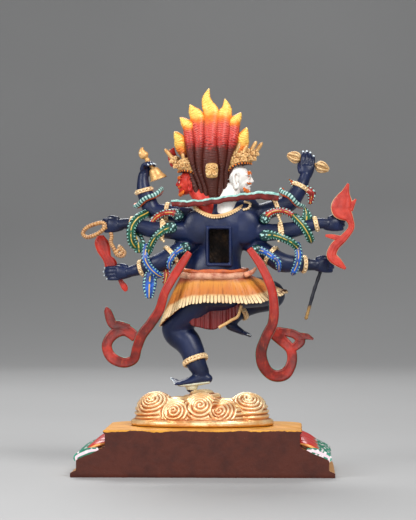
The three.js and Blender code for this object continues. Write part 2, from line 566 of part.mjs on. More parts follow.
// A palm with four fingers side by side.
function hand({ palm, radii, out, spread, curl: bend, length }) {
  const [outward, across, inward] = [toward(out), toward(spread), toward(bend)];
  const parts = [sweep([
    [...shifted(palm, [outward, -0.7 * radii[0]]), radii[1] * 0.8, radii[2] * 0.8],
    [...shifted(palm, [outward, 0.7 * radii[0]]), radii[1], radii[2]],
  ], { section: round(4), side: inward, blunt: 0.2 })];
  for (let k = 0; k < 4; k++) {
    const row = (k - 1.5) * FINGER_PITCH;
    parts.push(sweep([
      [...shifted(palm, [outward, radii[0] * 0.5], [across, row]), FINGER_PITCH * 0.5],
      [...shifted(palm, [outward, length], [across, row], [inward, length * FINGER_BEND]), FINGER_TIP],
    ], { section: FINGER_SECTION, side: inward }));
  }
  return union(parts);
}

// Five toes at the end of a foot, the great toe first.
function toes(root, outward, lift) {
  const made = [];
  for (let k = 0; k < 5; k++) {
    const y = (k - 2) * TOE_PITCH;
    made.push(sweep([
      [...shifted(root, [Y_AXIS, y]), TOE_PITCH * 0.48],
      [...shifted(root, [outward, 4.8 - 0.6 * k], [Y_AXIS, y], [Z_AXIS, lift * (4 - k) * 0.25]), TOE_PITCH * 0.44],
    ], { section: round(4) }));
  }
  return made;
}

function legs() {
  return union([
    sweep(banded(STANDING_LEG, [ANKLET])),
    sweep(STANDING_FOOT),
    ...toes([14, -1, 49.2], toward([1, 0, -0.05]), 2.4),
    sweep(STUB, { blunt: 0 }),
    sweep(banded(RAISED_LEG, [ANKLET])),
    sweep(RAISED_FOOT),
    ...toes([-21, -13, 77.6], toward([-0.8, -0.2, -0.5]), 0.4),
  ]);
}

// A head that faces -Y before it is turned: skull, jaw, nose and ears.
function head({ at, size, turn }) {
  const parts = [
    ball([0, 0.05, 0.2], [0.86, 0.95, 0.92], 8, 5),
    ball([0, -0.42, -0.5], [0.6, 0.58, 0.5], 6, 4),
    sweep([[0, -0.78, 0.25, 0.14], [0, -1, -0.2, 0.22]], { section: round(4), side: X_AXIS }),
  ];
  for (const side of [-1, 1]) {
    parts.push(sweep([[side * 0.84, 0.16, 0.34, 0.2, 0.26], [side * 0.84, 0.12, -0.6, 0.14, 0.18]],
      { section: round(4), side: X_AXIS }));
  }
  return union(parts).scale([size, size, size]).rotate([0, 0, turn]).translate(at);
}

// A crown: a cap over the brow, and pointed leaves that lean outward.
function crown({ at, size, turn, brow, leaves }) {
  const root = shifted(at, [X_AXIS, brow[0]], [Y_AXIS, brow[1]], [Z_AXIS, brow[2]]);
  const across = new THREE.Vector3(1, 0, 0).applyAxisAngle(Z_AXIS, THREE.MathUtils.degToRad(turn));
  const lean = across.clone().cross(Z_AXIS);
  const parts = [sweep([
    [...shifted(root, [lean, -0.35 * size], [Z_AXIS, -0.3 * size]), 0.92 * size, 0.6 * size],
    [...shifted(root, [lean, 0.3 * size], [Z_AXIS, 0.6 * size]), 0.62 * size, 0.42 * size],
  ], { section: round(6), side: across })];
  for (const leaf of leaves) {
    const start = new THREE.Vector3(...root).lerp(new THREE.Vector3(...leaf), 0.3);
    parts.push(sweep([[...start.toArray(), 1.5, 2.3], [...leaf, 0.6, 0.7]], { section: round(4) }));
  }
  return union(parts);
}

// The swept-up hair: ribbed locks, then the flames at its edge.
function hair() {
  const locks = round(HAIR_LOCKS * 2).map(([a, b], k) => {
    const depth = k % 2 === 0 ? LOCK_GROOVE : 1;
    return [a * depth, b * depth];
  });
  const parts = [sweep(HAIR, { section: locks, side: X_AXIS })];
  for (const flame of FLAMES) {
    const stations = flame.map(([x, z, half]) => [x, 0, z, half * 0.75, half]);
    parts.push(sweep(stations, { section: round(4), blunt: 0.1 }));
  }
  return union(parts);
}

// The tiger-skin skirt, from its belt down to a notched hem that follows both thighs.
function skirt() {
  const hem = smooth([...HEM, HEM[0]], HEM_POINTS + 1).slice(0, HEM_POINTS);
  const [cx, cy, cz] = SKIRT_TOP.at;
  const ring = (drop, notch, inward) => hem.map(([x, y, z], k) => {
    const turn = Math.atan2((y - cy) / SKIRT_TOP.half[1], (x - cx) / SKIRT_TOP.half[0]);
    const top = [cx + SKIRT_TOP.half[0] * Math.cos(turn), cy + SKIRT_TOP.half[1] * Math.sin(turn), cz];
    const swell = Math.sin(drop * Math.PI) * 0.06;
    const out = (drop + swell) * inward;
    return new THREE.Vector3(
      top[0] + (x - top[0]) * out,
      top[1] + (y - top[1]) * out,
      top[2] + (z - top[2]) * drop + (k % 2 ? notch : 0),
    );
  });
  return skin([ring(1, FRINGE_NOTCH, 1), ring(0.6, 0, 1), ring(0.25, 0, 1), ring(0, 0, 1)]);
}

// The cloth between the legs, as a slab with a wavy lower edge.
function undercloth() {
  const shape = new THREE.Shape(UNDERCLOTH.map(([x, z]) => new THREE.Vector2(x, z)));
  const geometry = new THREE.ExtrudeGeometry(shape, { depth: UNDERCLOTH_DEPTH, bevelEnabled: false });
  geometry.rotateX(Math.PI / 2);
  geometry.translate(0, UNDERCLOTH_BACK_Y, 0);
  return solid(geometry);
}

// A flared cuff of cloth round a forearm.
function cuff({ at, along, radius }) {
  const axis = toward(along);
  return sweep([
    [...shifted(at, [axis, -CUFF_HALF]), radius * 0.75, radius * 0.9],
    [...shifted(at, [axis, 0.3 * CUFF_HALF]), radius * 0.8, radius],
    [...shifted(at, [axis, CUFF_HALF]), radius * 0.7, radius * 0.92],
  ], { section: round(9), blunt: 0 });
}

function armScarves() {
  const made = CUFFS.map(cuff);
  for (const { path, half, knot = half } of Object.values(ARM_SCARVES)) {
    const stations = path.map(([x, y, z], k) => [x, y, z, 1.8, k === 0 ? knot : half]);
    made.push(sweep(smooth(stations, 4), { section: round(3), blunt: 1 }));
  }
  for (const flap of FLAPS) {
    made.push(sweep(flap.map(([x, y, z, wide, thick]) => [x, y, z, thick, wide]), { section: round(4) }));
  }
  return made;
}

function jewellery() {
  return [
    sweep(BELT, { section: round(14), side: X_AXIS, blunt: 0 }),
    sweep(COLLAR, { section: round(4) }),
    ball(CLASP.at, CLASP.radii, 6, 3),
  ];
}

function figure(cuts) {
  const { x, z, width, height, floorY } = WINDOW;
  const surround = slab(x, z, FRAME_WIDTH, FRAME_HEIGHT, FRAME_BACK_Y - FRAME_DEPTH, FRAME_BACK_Y);
  const opening = slab(x, z, width, height, floorY, TORSO_CLEAR_Y);
  const parts = [
    sweep(TORSO, { section: round(12), side: X_AXIS }),
    ball(BELLY.at, BELLY.radii, 10, 6),
    surround,
    ...Object.entries(ARMS).map(([name, arm]) => sweep(banded(arm, ARM_BANDS[name]))),
    ...Object.values(HANDS).map(hand),
    legs(),
    ...Object.values(HEADS).map(head),
    ...Object.values(HEADS).map(crown),
    hair(),
    skirt(),
    undercloth(),
    ...armScarves(),
    ...jewellery(),
  ];
  return largest(union(parts).subtract(union([opening, ...cuts])).simplify(SEAM));
}

// A box between two depths.
function slab(x, z, width, height, frontY, backY) {
  const geometry = new THREE.BoxGeometry(width, backY - frontY, height);
  geometry.translate(x, (frontY + backY) / 2, z);
  return solid(geometry);
}

// Each held thing grows by `extra` when it cuts its own place in the figure.
function shoulderScarf(extra = 0) {
  return sweep(grown(SHOULDER_SCARF, extra), { section: STRAP, blunt: 0.2 });
}

function sash(line, tails, extra = 0) {
  const ribbon = (path, count) => sweep(
    smooth(path, count).map(([x, y, z, half]) => [x, y, z, SASH_HALF_DEPTH + extra, half + extra]),
    { section: STRAP, blunt: 0.2 },
  );
  return union([ribbon(line, 20), ...tails.map((tail) => ribbon(tail, tail.length + 1))]);
}

function bell(extra = 0) {
  return sweep(grown(BELL, extra), { section: round(8), blunt: 0 });
}

function vajra(extra = 0) {
  const axis = toward(VAJRA.along);
  const station = ([reach, ...halves]) => [...shifted(VAJRA.middle, [axis, reach]), ...halves];
  const grip = [-VAJRA.gripHalf, VAJRA.gripHalf].map((reach) => station([reach, VAJRA.grip]));
  const parts = [sweep(grown(grip, extra), { section: round(6) })];
  for (const end of [-1, 1]) {
    const prongs = VAJRA.prongs.map(([reach, ...halves]) => station([end * reach, ...halves]));
    parts.push(sweep(grown(prongs, extra), { section: round(6) }));
  }
  return union(parts);
}

function noose(extra = 0) {
  const rope = ROPE + extra;
  return union([
    sweep(NOOSE_LOOP.map((point) => [...point, rope * 1.1, rope]), { section: round(4), loop: true }),
    sweep(smooth(NOOSE_TAIL, 11).map((point) => [...point, rope]), { section: round(4) }),
  ]);
}

function knife(extra = 0) {
  return sweep(grown(KNIFE, extra), { section: round(6), blunt: 0.1 });
}

function flameBanner(extra = 0) {
  return union([
    sweep(grown(BANNER, extra), { section: round(4), blunt: 0.1 }),
    ...BANNER_SPURS.map((spur) => sweep(grown(spur, extra), { section: round(4) })),
  ]);
}

function rod(extra = 0) {
  return sweep(grown(ROD, extra), { section: round(6) });
}

function mesh(name, body) {
  const { vertProperties, triVerts } = body.getMesh();
  const geometry = new THREE.BufferGeometry();
  geometry.setAttribute('position', new THREE.BufferAttribute(vertProperties, 3));
  geometry.setIndex(new THREE.BufferAttribute(triVerts, 1));
  geometry.computeVertexNormals();
  const material = new THREE.MeshStandardMaterial({ color: COLOURS[name], roughness: 0.5, metalness: 0 });
  const made = new THREE.Mesh(geometry, material);
  made.name = name;
  return made;
}

const leftTails = [LEFT_TAIL];
const rightTails = [RIGHT_TAIL, RIGHT_TAIL_TIP];
const held = [bell, vajra, noose, knife, flameBanner, rod, shoulderScarf];
const cuts = [
  ...held.map((piece) => piece(GAP)),
  sash(LEFT_SASH, leftTails, GAP),
  sash(RIGHT_SASH, rightTails, GAP),
];

const group = new THREE.Group();
group.add(
  mesh('plinth', plinth()),
  mesh('cloud_base', cloudBase(sweep(grown(STUB, GAP), { section: round(8), blunt: 0 }))),
  mesh('figure', figure(cuts)),
  mesh('shoulder_scarf', shoulderScarf()),
  mesh('left_sash', sash(LEFT_SASH, leftTails)),
  mesh('right_sash', sash(RIGHT_SASH, rightTails)),
  mesh('bell', bell()),
  mesh('vajra', vajra()),
  mesh('noose', noose()),
  mesh('knife', knife()),
  mesh('flame_banner', flameBanner()),
  mesh('rod', rod()),
);

export default group;
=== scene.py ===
# A painted wrathful deity with six arms and three heads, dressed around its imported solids.
# Sizes are millimetres until a mesh is made. The figure faces -Y and the photograph shows
# its back, so the camera stands at +Y. The figure's own left hand side is +X.

import math

import bpy
import numpy as np
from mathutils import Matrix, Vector


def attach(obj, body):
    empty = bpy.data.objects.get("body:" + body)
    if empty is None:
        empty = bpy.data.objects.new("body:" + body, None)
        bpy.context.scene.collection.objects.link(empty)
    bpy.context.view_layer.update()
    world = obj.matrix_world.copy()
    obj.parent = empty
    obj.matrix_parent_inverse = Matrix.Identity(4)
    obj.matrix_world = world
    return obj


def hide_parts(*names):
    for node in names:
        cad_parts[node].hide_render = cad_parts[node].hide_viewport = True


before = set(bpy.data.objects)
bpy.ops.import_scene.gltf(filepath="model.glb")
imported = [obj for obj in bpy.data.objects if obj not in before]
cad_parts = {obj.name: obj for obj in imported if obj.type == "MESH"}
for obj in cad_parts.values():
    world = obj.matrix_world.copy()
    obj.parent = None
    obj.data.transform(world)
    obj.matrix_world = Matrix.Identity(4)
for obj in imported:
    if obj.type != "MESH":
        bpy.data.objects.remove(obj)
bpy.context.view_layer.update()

MM = 0.001
X_AXIS, Y_AXIS, Z_AXIS = np.eye(3)
TURN = 2 * math.pi

# The share of their triangles that the fused pieces keep.
BODY_SHARE = 0.5
HAND_SHARE = 0.75
HEAD_SHARE = 0.68
CROWN_SHARE = 0.7
CLOUD_SHARE = 0.8

# The photograph: its distance, height and aim, and the lens that gives its framing.
CAMERA_DISTANCE = 1400
CAMERA_HEIGHT = 118.6
CAMERA_AIM_X = -1.7
CAMERA_AZIMUTH = 182
CAMERA_LENS = 173


# Shapes: closed skins made of points and faces, before they become Blender meshes.


class Shape:
    """Points in millimetres, faces, and one number a point for each named tag."""

    def __init__(self, points, faces, **tags):
        self.points = np.asarray(points, float).reshape(-1, 3)
        self.faces = [tuple(int(i) for i in face) for face in faces]
        self.tags = {}
        for name, values in tags.items():
            self.tags[name] = np.broadcast_to(np.asarray(values, float), len(self.points)).copy()

    def moved(self, change):
        """The same shape with its points put through a function."""
        made = Shape(change(self.points), [])
        made.faces = self.faces
        made.tags = self.tags
        return made


def joined(shapes):
    names = sorted(set().union(*[shape.tags for shape in shapes]))
    start, faces = 0, []
    for shape in shapes:
        faces += [tuple(i + start for i in face) for face in shape.faces]
        start += len(shape.points)
    made = Shape(np.concatenate([shape.points for shape in shapes]), [])
    made.faces = faces
    for name in names:
        made.tags[name] = np.concatenate(
            [shape.tags.get(name, np.zeros(len(shape.points))) for shape in shapes])
    return made


def unit(vector):
    vector = np.asarray(vector, float)
    return vector / np.linalg.norm(vector, axis=-1, keepdims=True)


def rows_of(stations):
    """Stations as rows of x, y, z and two half sizes."""
    return np.array([(*row[:4], row[4] if len(row) > 4 else row[3]) for row in stations], float)


def smooth(stations, count, loop=False):
    """Rows spaced along a smooth curve through the given ones."""
    rows = np.asarray(stations, float)
    size = len(rows)
    if loop:
        t = np.arange(count) * size / count
        i = t.astype(int)
        near = [rows[(i + k) % size] for k in (-1, 0, 1, 2)]
    else:
        t = np.linspace(0, size - 1, count)
        i = np.minimum(t.astype(int), size - 2)
        near = [rows[np.clip(i + k, 0, size - 1)] for k in (-1, 0, 1, 2)]
    a, b, c, d = near
    f = (t - i)[:, None]
    return b + 0.5 * f * (c - a + f * (2 * a - 5 * b + 4 * c - d + f * (3 * (b - c) + d - a)))


def circle(sides, start=0.5):
    turn = TURN * (np.arange(sides) + start) / sides
    return np.stack([np.cos(turn), np.sin(turn)], 1)


def rounded_ends(rows, blunt):
    """The rows with a few more at each end that close it like a dome."""
    steps = np.radians([35, 60, 80])
    ends = []
    for end, inner in ((0, 1), (-1, -2)):
        along = unit(rows[end, :3] - rows[inner, :3])
        reach = blunt * rows[end, 3:5].min()
        dome = []
        for step in steps:
            row = rows[end].copy()
            row[:3] += along * reach * math.sin(step)
            row[3:5] *= math.cos(step)
            dome.append(row)
        ends.append(dome)
    return np.array([*reversed(ends[0]), *rows, *ends[1]])


def skin(rings, loop=False, **tags):
    """A closed shape stretched over rings that all have the same number of points."""
    count, sides = rings.shape[:2]
    index = np.arange(count * sides).reshape(count, sides)
    following = np.roll(index, -1, 0)
    spans = slice(None) if loop else slice(0, -1)
    a, b = index[spans], following[spans]
    quads = np.stack([a, np.roll(a, -1, 1), np.roll(b, -1, 1), b], -1).reshape(-1, 4)
    points = rings.reshape(-1, 3)
    faces = [tuple(quad) for quad in quads]
    if not loop:
        faces += [tuple(reversed(index[0])), tuple(index[-1])]
    return Shape(points, faces, **{name: np.asarray(values).reshape(-1) for name, values in tags.items()})


def tube(stations, sides=16, side=Y_AXIS, loop=False, section=None, blunt=0.7):
    """A skin swept through x, y, z and two half sizes, the first of them along `side`. Its
    tags say how far along it a point is, in millimetres, and where it is in the section:
    `facing` along `side` and `across` it, both from -1 to 1."""
    rows = rows_of(stations)
    if not loop:
        rows = rounded_ends(rows, blunt)
    at = rows[:, :3]
    if loop:
        along = np.roll(at, -1, 0) - np.roll(at, 1, 0)
        steps = np.linalg.norm(np.roll(at, -1, 0) - at, axis=1)
        reach = np.concatenate([[0], np.cumsum(steps)[:-1]])
    else:
        along = np.gradient(at, axis=0)
        reach = np.concatenate([[0], np.cumsum(np.linalg.norm(np.diff(at, axis=0), axis=1))])
    along = unit(along)
    u = unit(side - along * (along @ np.asarray(side, float))[:, None])
    v = np.cross(along, u)
    section = circle(sides) if section is None else np.asarray(section, float)
    rings = (at[:, None] + u[:, None] * section[None, :, :1] * rows[:, None, 3:4]
             + v[:, None] * section[None, :, 1:] * rows[:, None, 4:5])
    shape = (len(rows), len(section))
    return skin(rings, loop, along=np.broadcast_to(reach[:, None], shape),
                facing=np.broadcast_to(section[:, 0], shape), across=np.broadcast_to(section[:, 1], shape))


def ball(at, radii, wide=24, high=14):
    """An ellipsoid."""
    polar = np.linspace(0, math.pi, high + 1)[1:-1]
    turn = TURN * np.arange(wide) / wide
    rings = np.stack([np.sin(polar)[:, None] * np.cos(turn), np.sin(polar)[:, None] * np.sin(turn),
                      np.broadcast_to(-np.cos(polar)[:, None], (len(polar), wide))], -1)
    return skin(np.asarray(at, float) + rings * np.asarray(radii, float))


def along_line(stations, share):
    """The place, the direction and the radius at a share of a limb's length."""
    rows = smooth(stations, 60)
    reach = np.concatenate([[0], np.cumsum(np.linalg.norm(np.diff(rows[:, :3], axis=0), axis=1))])
    at = np.array([np.interp(share * reach[-1], reach, rows[:, k]) for k in range(4)])
    ahead = np.array([np.interp(share * reach[-1] + 1, reach, rows[:, k]) for k in range(3)])
    behind = np.array([np.interp(share * reach[-1] - 1, reach, rows[:, k]) for k in range(3)])
    return at[:3], unit(ahead - behind), at[3]


# Blender objects.


def mesh_object(name, shape):
    mesh = bpy.data.meshes.new(name)
    mesh.from_pydata((shape.points * MM).tolist(), [], shape.faces)
    for tag, values in shape.tags.items():
        mesh.attributes.new(tag, "FLOAT", "POINT").data.foreach_set("value", values)
    mesh.shade_smooth()
    made = bpy.data.objects.new(name, mesh)
    bpy.context.scene.collection.objects.link(made)
    return made


def settle(made):
    """Applies an object's modifiers to its mesh."""
    graph = bpy.context.evaluated_depsgraph_get()
    mesh = bpy.data.meshes.new_from_object(made.evaluated_get(graph))
    made.modifiers.clear()
    old = made.data
    made.data = mesh
    bpy.data.meshes.remove(old)
    mesh.shade_smooth()
    return made


def fused(name, shapes, voxel, softening=4):
    """One skin over several overlapping shapes."""
    made = mesh_object(name, joined(shapes))
    remesh = made.modifiers.new("fuse", "REMESH")
    remesh.mode = "VOXEL"
    remesh.voxel_size = voxel * MM
    soften = made.modifiers.new("soften", "SMOOTH")
    soften.factor = 0.5
    soften.iterations = softening
    return settle(made)


def thinned(made, share):
    """Leaves a share of a piece's triangles, with the fewest where its surface is smoothest."""
    fewer = made.modifiers.new("fewer", "DECIMATE")
    fewer.ratio = share
    return settle(made)


def mesh_points(made):
    flat = np.zeros(len(made.data.vertices) * 3)
    made.data.vertices.foreach_get("co", flat)
    return flat.reshape(-1, 3) / MM


def mesh_normals(made):
    flat = np.zeros(len(made.data.vertices) * 3)
    made.data.vertex_normals.foreach_get("vector", flat)
    return flat.reshape(-1, 3)


def set_points(made, points):
    made.data.vertices.foreach_set("co", (points * MM).reshape(-1))
    made.data.update()


def add_tag(made, name, values):
    made.data.attributes.new(name, "FLOAT", "POINT").data.foreach_set("value", values)


def cut_out(made, shape):
    """Takes a closed shape out of an object."""
    cutter = mesh_object("cutter", shape)
    cut = made.modifiers.new("cut", "BOOLEAN")
    cut.operation = "DIFFERENCE"
    cut.solver = "MANIFOLD"
    cut.object = cutter
    settle(made)
    bpy.data.objects.remove(cutter)


def dress(made, material, slot, *nodes, sharp=None):
    """Gives a piece its paint, puts it on the root and hides the solids it stands for. The slot is not used.
    """
    made.data.materials.clear()
    made.data.materials.append(material)
    if sharp:
        made.data.set_sharp_from_angle(angle=math.radians(sharp))
    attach(made, "root")
    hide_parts(*nodes)
    return made


# Paints.


def srgb(red, green, blue):
    """A colour as a shader takes it, from one as it looks on a screen."""
    shares = [value / 255 for value in (red, green, blue)]
    return [s / 12.92 if s <= 0.04045 else ((s + 0.055) / 1.055) ** 2.4 for s in shares] + [1]


class Paint:
    """A node material, built step by step. Scales are in features a metre."""

    def __init__(self, name, roughness=0.5, metallic=0.0, coat=0.0, coat_roughness=0.3, specular=0.3):
        self.material = bpy.data.materials.new(name)
        self.material.use_nodes = True
        self.tree = self.material.node_tree
        self.shader = self.tree.nodes["Principled BSDF"]
        self.shader.inputs["Roughness"].default_value = roughness
        self.shader.inputs["Metallic"].default_value = metallic
        self.shader.inputs["Specular IOR Level"].default_value = specular
        self.shader.inputs["Coat Weight"].default_value = coat
        self.shader.inputs["Coat Roughness"].default_value = coat_roughness
        self.place = self.tree.nodes.new("ShaderNodeTexCoord").outputs["Object"]

    def put(self, value, socket):
        if isinstance(value, bpy.types.NodeSocket):
            self.tree.links.new(value, socket)
        else:
            socket.default_value = value

    def noise(self, scale, detail=4, roughness=0.6, stretch=(1, 1, 1), distortion=0):
        mapping = self.tree.nodes.new("ShaderNodeMapping")
        mapping.inputs["Scale"].default_value = stretch
        self.tree.links.new(self.place, mapping.inputs["Vector"])
        node = self.tree.nodes.new("ShaderNodeTexNoise")
        self.tree.links.new(mapping.outputs[0], node.inputs["Vector"])
        node.inputs["Scale"].default_value = scale
        node.inputs["Detail"].default_value = detail
        node.inputs["Roughness"].default_value = roughness
        node.inputs["Distortion"].default_value = distortion
        return node.outputs["Fac"]

    def specks(self, scale, size):
        """One in small round specks, zero elsewhere."""
        node = self.tree.nodes.new("ShaderNodeTexVoronoi")
        self.tree.links.new(self.place, node.inputs["Vector"])
        node.inputs["Scale"].default_value = scale
        return self.range(node.outputs["Distance"], size, size * 0.6)

    def tag(self, name):
        node = self.tree.nodes.new("ShaderNodeAttribute")
        node.attribute_name = name
        return node.outputs["Fac"]

    def height(self):
        """Z, in metres."""
        node = self.tree.nodes.new("ShaderNodeSeparateXYZ")
        self.tree.links.new(self.place, node.inputs[0])
        return node.outputs["Z"]

    def depth(self):
        """Y, in metres."""
        node = self.tree.nodes.new("ShaderNodeSeparateXYZ")
        self.tree.links.new(self.place, node.inputs[0])
        return node.outputs["Y"]

    def crest(self):
        """About a half on flat places, more on crests and less in grooves."""
        return self.tree.nodes.new("ShaderNodeNewGeometry").outputs["Pointiness"]

    def shelter(self, distance):
        """One in the open, less in corners."""
        node = self.tree.nodes.new("ShaderNodeAmbientOcclusion")
        node.samples = 8
        node.inputs["Distance"].default_value = distance * MM
        return node.outputs["AO"]

    def math(self, operation, a, b=0.0, clamp=False):
        node = self.tree.nodes.new("ShaderNodeMath")
        node.operation = operation
        node.use_clamp = clamp
        self.put(a, node.inputs[0])
        self.put(b, node.inputs[1])
        return node.outputs[0]

    def range(self, value, low, high):
        """Zero at `low`, one at `high`, even between."""
        node = self.tree.nodes.new("ShaderNodeMapRange")
        self.put(value, node.inputs["Value"])
        node.inputs["From Min"].default_value = low
        node.inputs["From Max"].default_value = high
        return node.outputs["Result"]

    def ramp(self, value, stops):
        node = self.tree.nodes.new("ShaderNodeValToRGB")
        self.put(value, node.inputs["Fac"])
        elements = node.color_ramp.elements
        while len(elements) < len(stops):
            elements.new(0.5)
        for element, (place, colour) in zip(elements, stops):
            element.position = place
            element.color = colour
        return node.outputs["Color"]

    def mix(self, share, a, b):
        node = self.tree.nodes.new("ShaderNodeMix")
        node.data_type = "RGBA"
        self.put(share, node.inputs[0])
        self.put(a, node.inputs[6])
        self.put(b, node.inputs[7])
        return node.outputs[2]

    def colour(self, value):
        self.put(value, self.shader.inputs["Base Color"])

    def roughness(self, value, low, high):
        """Roughness that runs from `low` to `high` with a value from 0 to 1."""
        node = self.tree.nodes.new("ShaderNodeMapRange")
        self.put(value, node.inputs["Value"])
        node.inputs["To Min"].default_value = low
        node.inputs["To Max"].default_value = high
        self.put(node.outputs["Result"], self.shader.inputs["Roughness"])

    def relief(self, value, depth, strength=1.0):
        """Bump of the given depth in millimetres."""
        node = self.tree.nodes.new("ShaderNodeBump")
        node.inputs["Strength"].default_value = strength
        node.inputs["Distance"].default_value = depth * MM
        self.put(value, node.inputs["Height"])
        self.put(node.outputs[0], self.shader.inputs["Normal"])


NAVY = srgb(18, 32, 70)
NAVY_DARK = srgb(10, 18, 42)
NAVY_HIGHLIGHT = srgb(34, 50, 98)


def skin_paint():
    paint = Paint("navy_paint", coat=0.12, coat_roughness=0.3)
    broad = paint.noise(60, 3)
    colour = paint.mix(paint.range(broad, 0.35, 0.7), NAVY, NAVY_DARK)
    # Lighter navy on the crests: a painted highlight.
    raised = paint.math("MULTIPLY", paint.range(paint.crest(), 0.53, 0.62), 0.6)
    colour = paint.mix(raised, colour, NAVY_HIGHLIGHT)
    dusty = paint.range(paint.noise(900, 2), 0.64, 0.76)
    colour = paint.mix(paint.math("MULTIPLY", dusty, 0.2), colour, srgb(70, 82, 118))
    paint.colour(colour)
    paint.roughness(paint.noise(220, 4), 0.3, 0.55)
    paint.relief(paint.noise(500, 5, 0.55), 0.12)
    return paint.material


def face_paint(name, base, shadow, light):
    paint = Paint(name, coat=0.1)
    colour = paint.mix(paint.range(paint.noise(250, 3), 0.4, 0.7), base, light)
    colour = paint.mix(paint.range(paint.crest(), 0.5, 0.44), colour, shadow)
    paint.colour(colour)
    paint.roughness(paint.noise(300, 3), 0.4, 0.6)
    paint.relief(paint.noise(800, 4), 0.1)
    return paint.material


def gold_paint(name="gold_paint", base=srgb(222, 178, 116), groove_wash_and_shade=srgb(118, 58, 26), low=0.495, high=0.445):
    """Satin gold paint, with brown paint left in its grooves and painted shade there too, and a painted pale
    highlight on its crests.
    """
    paint = Paint(name, metallic=0.3)
    colour = paint.mix(paint.range(paint.noise(400, 3), 0.35, 0.7), base, srgb(190, 138, 80))
    # Pale gold on the crests: a painted highlight.
    colour = paint.mix(paint.range(paint.crest(), 0.53, 0.62), colour, srgb(252, 232, 192))
    # Brown in the grooves: partly the paint left there, partly painted shade.
    colour = paint.mix(paint.range(paint.crest(), low, high), colour, groove_wash_and_shade)
    paint.colour(colour)
    paint.roughness(paint.noise(350, 3), 0.32, 0.52)
    paint.relief(paint.noise(900, 3), 0.08)
    return paint.material


# The figure's flesh.

# Each arm runs from the shoulder through the elbow to the wrist: x, y, z and radius.
ARMS = {
    "upper_left": [[9.5, 0, 143, 5.3], [19.5, -1, 145, 4.8], [29, -2, 146, 5], [32.5, -3, 153, 4.7],
                   [34.5, -3, 158, 4.1], [35, -4, 164, 3.2], [34.5, -4.5, 167, 3]],
    "upper_right": [[-32, 0, 145, 5.3], [-40, -1, 148, 4.8], [-47, -2, 150.5, 5], [-52, -3, 157, 4.5],
                    [-55, -4, 162.5, 3.4], [-56.6, -4.5, 167, 3.1]],
    "middle_left": [[8, 2, 134, 6], [19.5, 5, 135, 4.8], [29.5, 6, 135.5, 4.7], [37, 6, 137.5, 3.9],
                    [43.5, 6, 139, 3.1], [48, 6, 138.2, 3.2]],
    "middle_right": [[-27, 2, 135, 6], [-37.5, 5, 134, 4.8], [-47, 6, 135, 4.7], [-56, 6, 137, 3.9],
                     [-64, 6, 139, 3.1], [-69, 6, 138.6, 3.2]],
    "lower_left": [[5, 0, 130, 5.5], [15, 2, 124, 5], [23.5, 4, 118, 5.3], [30.5, 3, 115.5, 4.7],
                   [38.5, 1, 113, 3.4], [43.5, 1, 111.8, 3.1]],
    "lower_right": [[-24, 0, 129, 5.5], [-34, 2, 123, 5], [-42.5, 4, 117.5, 5.5],
                    [-50.5, 3, 116.5, 4.7], [-58.5, 1, 116, 3.4], [-63, 1, 115.8, 3.2]],
}

TORSO = [[-5.5, -1, 97, 16, 11], [-5.5, -1.5, 108, 17.4, 12], [-5.5, -1.5, 114, 16.6, 12],
         [-8, -2, 123, 12.4, 11.5], [-9, -1, 131, 15.6, 11.5], [-10.2, 0, 139, 20, 11],
         [-11.5, 0, 144.5, 21, 9], [-9.5, 0, 149, 11, 7.5], [-7, -1, 155, 7, 6.5]]
BELLY = {"at": (-7, -10, 121), "radii": (12, 7, 9)}
SHOULDER_BLADES = [((3, 6, 137), (9, 3.8, 10)), ((-22, 6, 137), (9, 3.8, 10))]
SPINE_X = -8.3
SPINE_DENT = 0.7

STANDING_LEG = [[1, -1, 98, 10], [8.5, -4, 90.5, 9.3], [16, -7, 82.5, 8], [16.5, -7.5, 77.5, 7.4],
                [11, -6, 73.5, 7.7], [7.5, -4, 68, 6.8], [6, -3, 63.5, 6.4], [4.3, -2, 59.5, 5.4],
                [1.6, -1.4, 55, 4.4]]
STANDING_FOOT = [[-2.6, -1, 52, 3, 2.4], [2, -1, 52.2, 3.6, 3.6], [8, -1, 50.6, 4.4, 2.7],
                 [14.5, -1, 49.2, 5, 1.7]]
STUB = [[7.5, -1, 49.5, 3.2, 3.6], [7.5, -1, 45.9, 2.6, 3]]
RAISED_LEG = [[-17, -3, 100.5, 9.5], [-29.5, -11, 100.5, 8.6], [-38, -19, 99.5, 6.8],
              [-36, -20, 96, 6.2], [-27.5, -17, 93, 5], [-19, -13.5, 88.5, 3.8], [-14.5, -11, 83.5, 3.2]]
RAISED_FOOT = [[-12.4, -10, 82.4, 2.6, 2], [-14, -10.5, 81.6, 2.9, 2.8], [-18.5, -12, 79, 3.2, 2],
               [-21.5, -13, 77.3, 3.4, 1.4]]
TOE_PITCH = 2

# The opening in the back, for what is sealed inside such a figure.
WINDOW = {"x": -8.1, "z": 126.4, "width": 11.2, "height": 18.8, "floor": -3}
FRAME_WIDTH = 14
FRAME_HEIGHT = 22.2
FRAME_BACK = 11.6


def box_shape(x, z, width, height, front, back, round_off=0.0, steps=1):
    """A box between two depths, as a rounded rectangle swept along Y."""
    corner = []
    for turn, sx, sz in ((0, 1, 1), (90, -1, 1), (180, -1, -1), (270, 1, -1)):
        for step in range(steps + 1 if round_off else 1):
            angle = math.radians(turn + (90 * step / steps if round_off else 45))
            reach = round_off if round_off else 0
            corner.append((x + sx * (width / 2 - round_off) + reach * math.cos(angle),
                           z + sz * (height / 2 - round_off) + reach * math.sin(angle)))
    outline = np.array(corner)
    rings = [np.column_stack([outline[:, 0], np.full(len(outline), y), outline[:, 1]]) for y in (back, front)]
    return skin(np.array(rings))


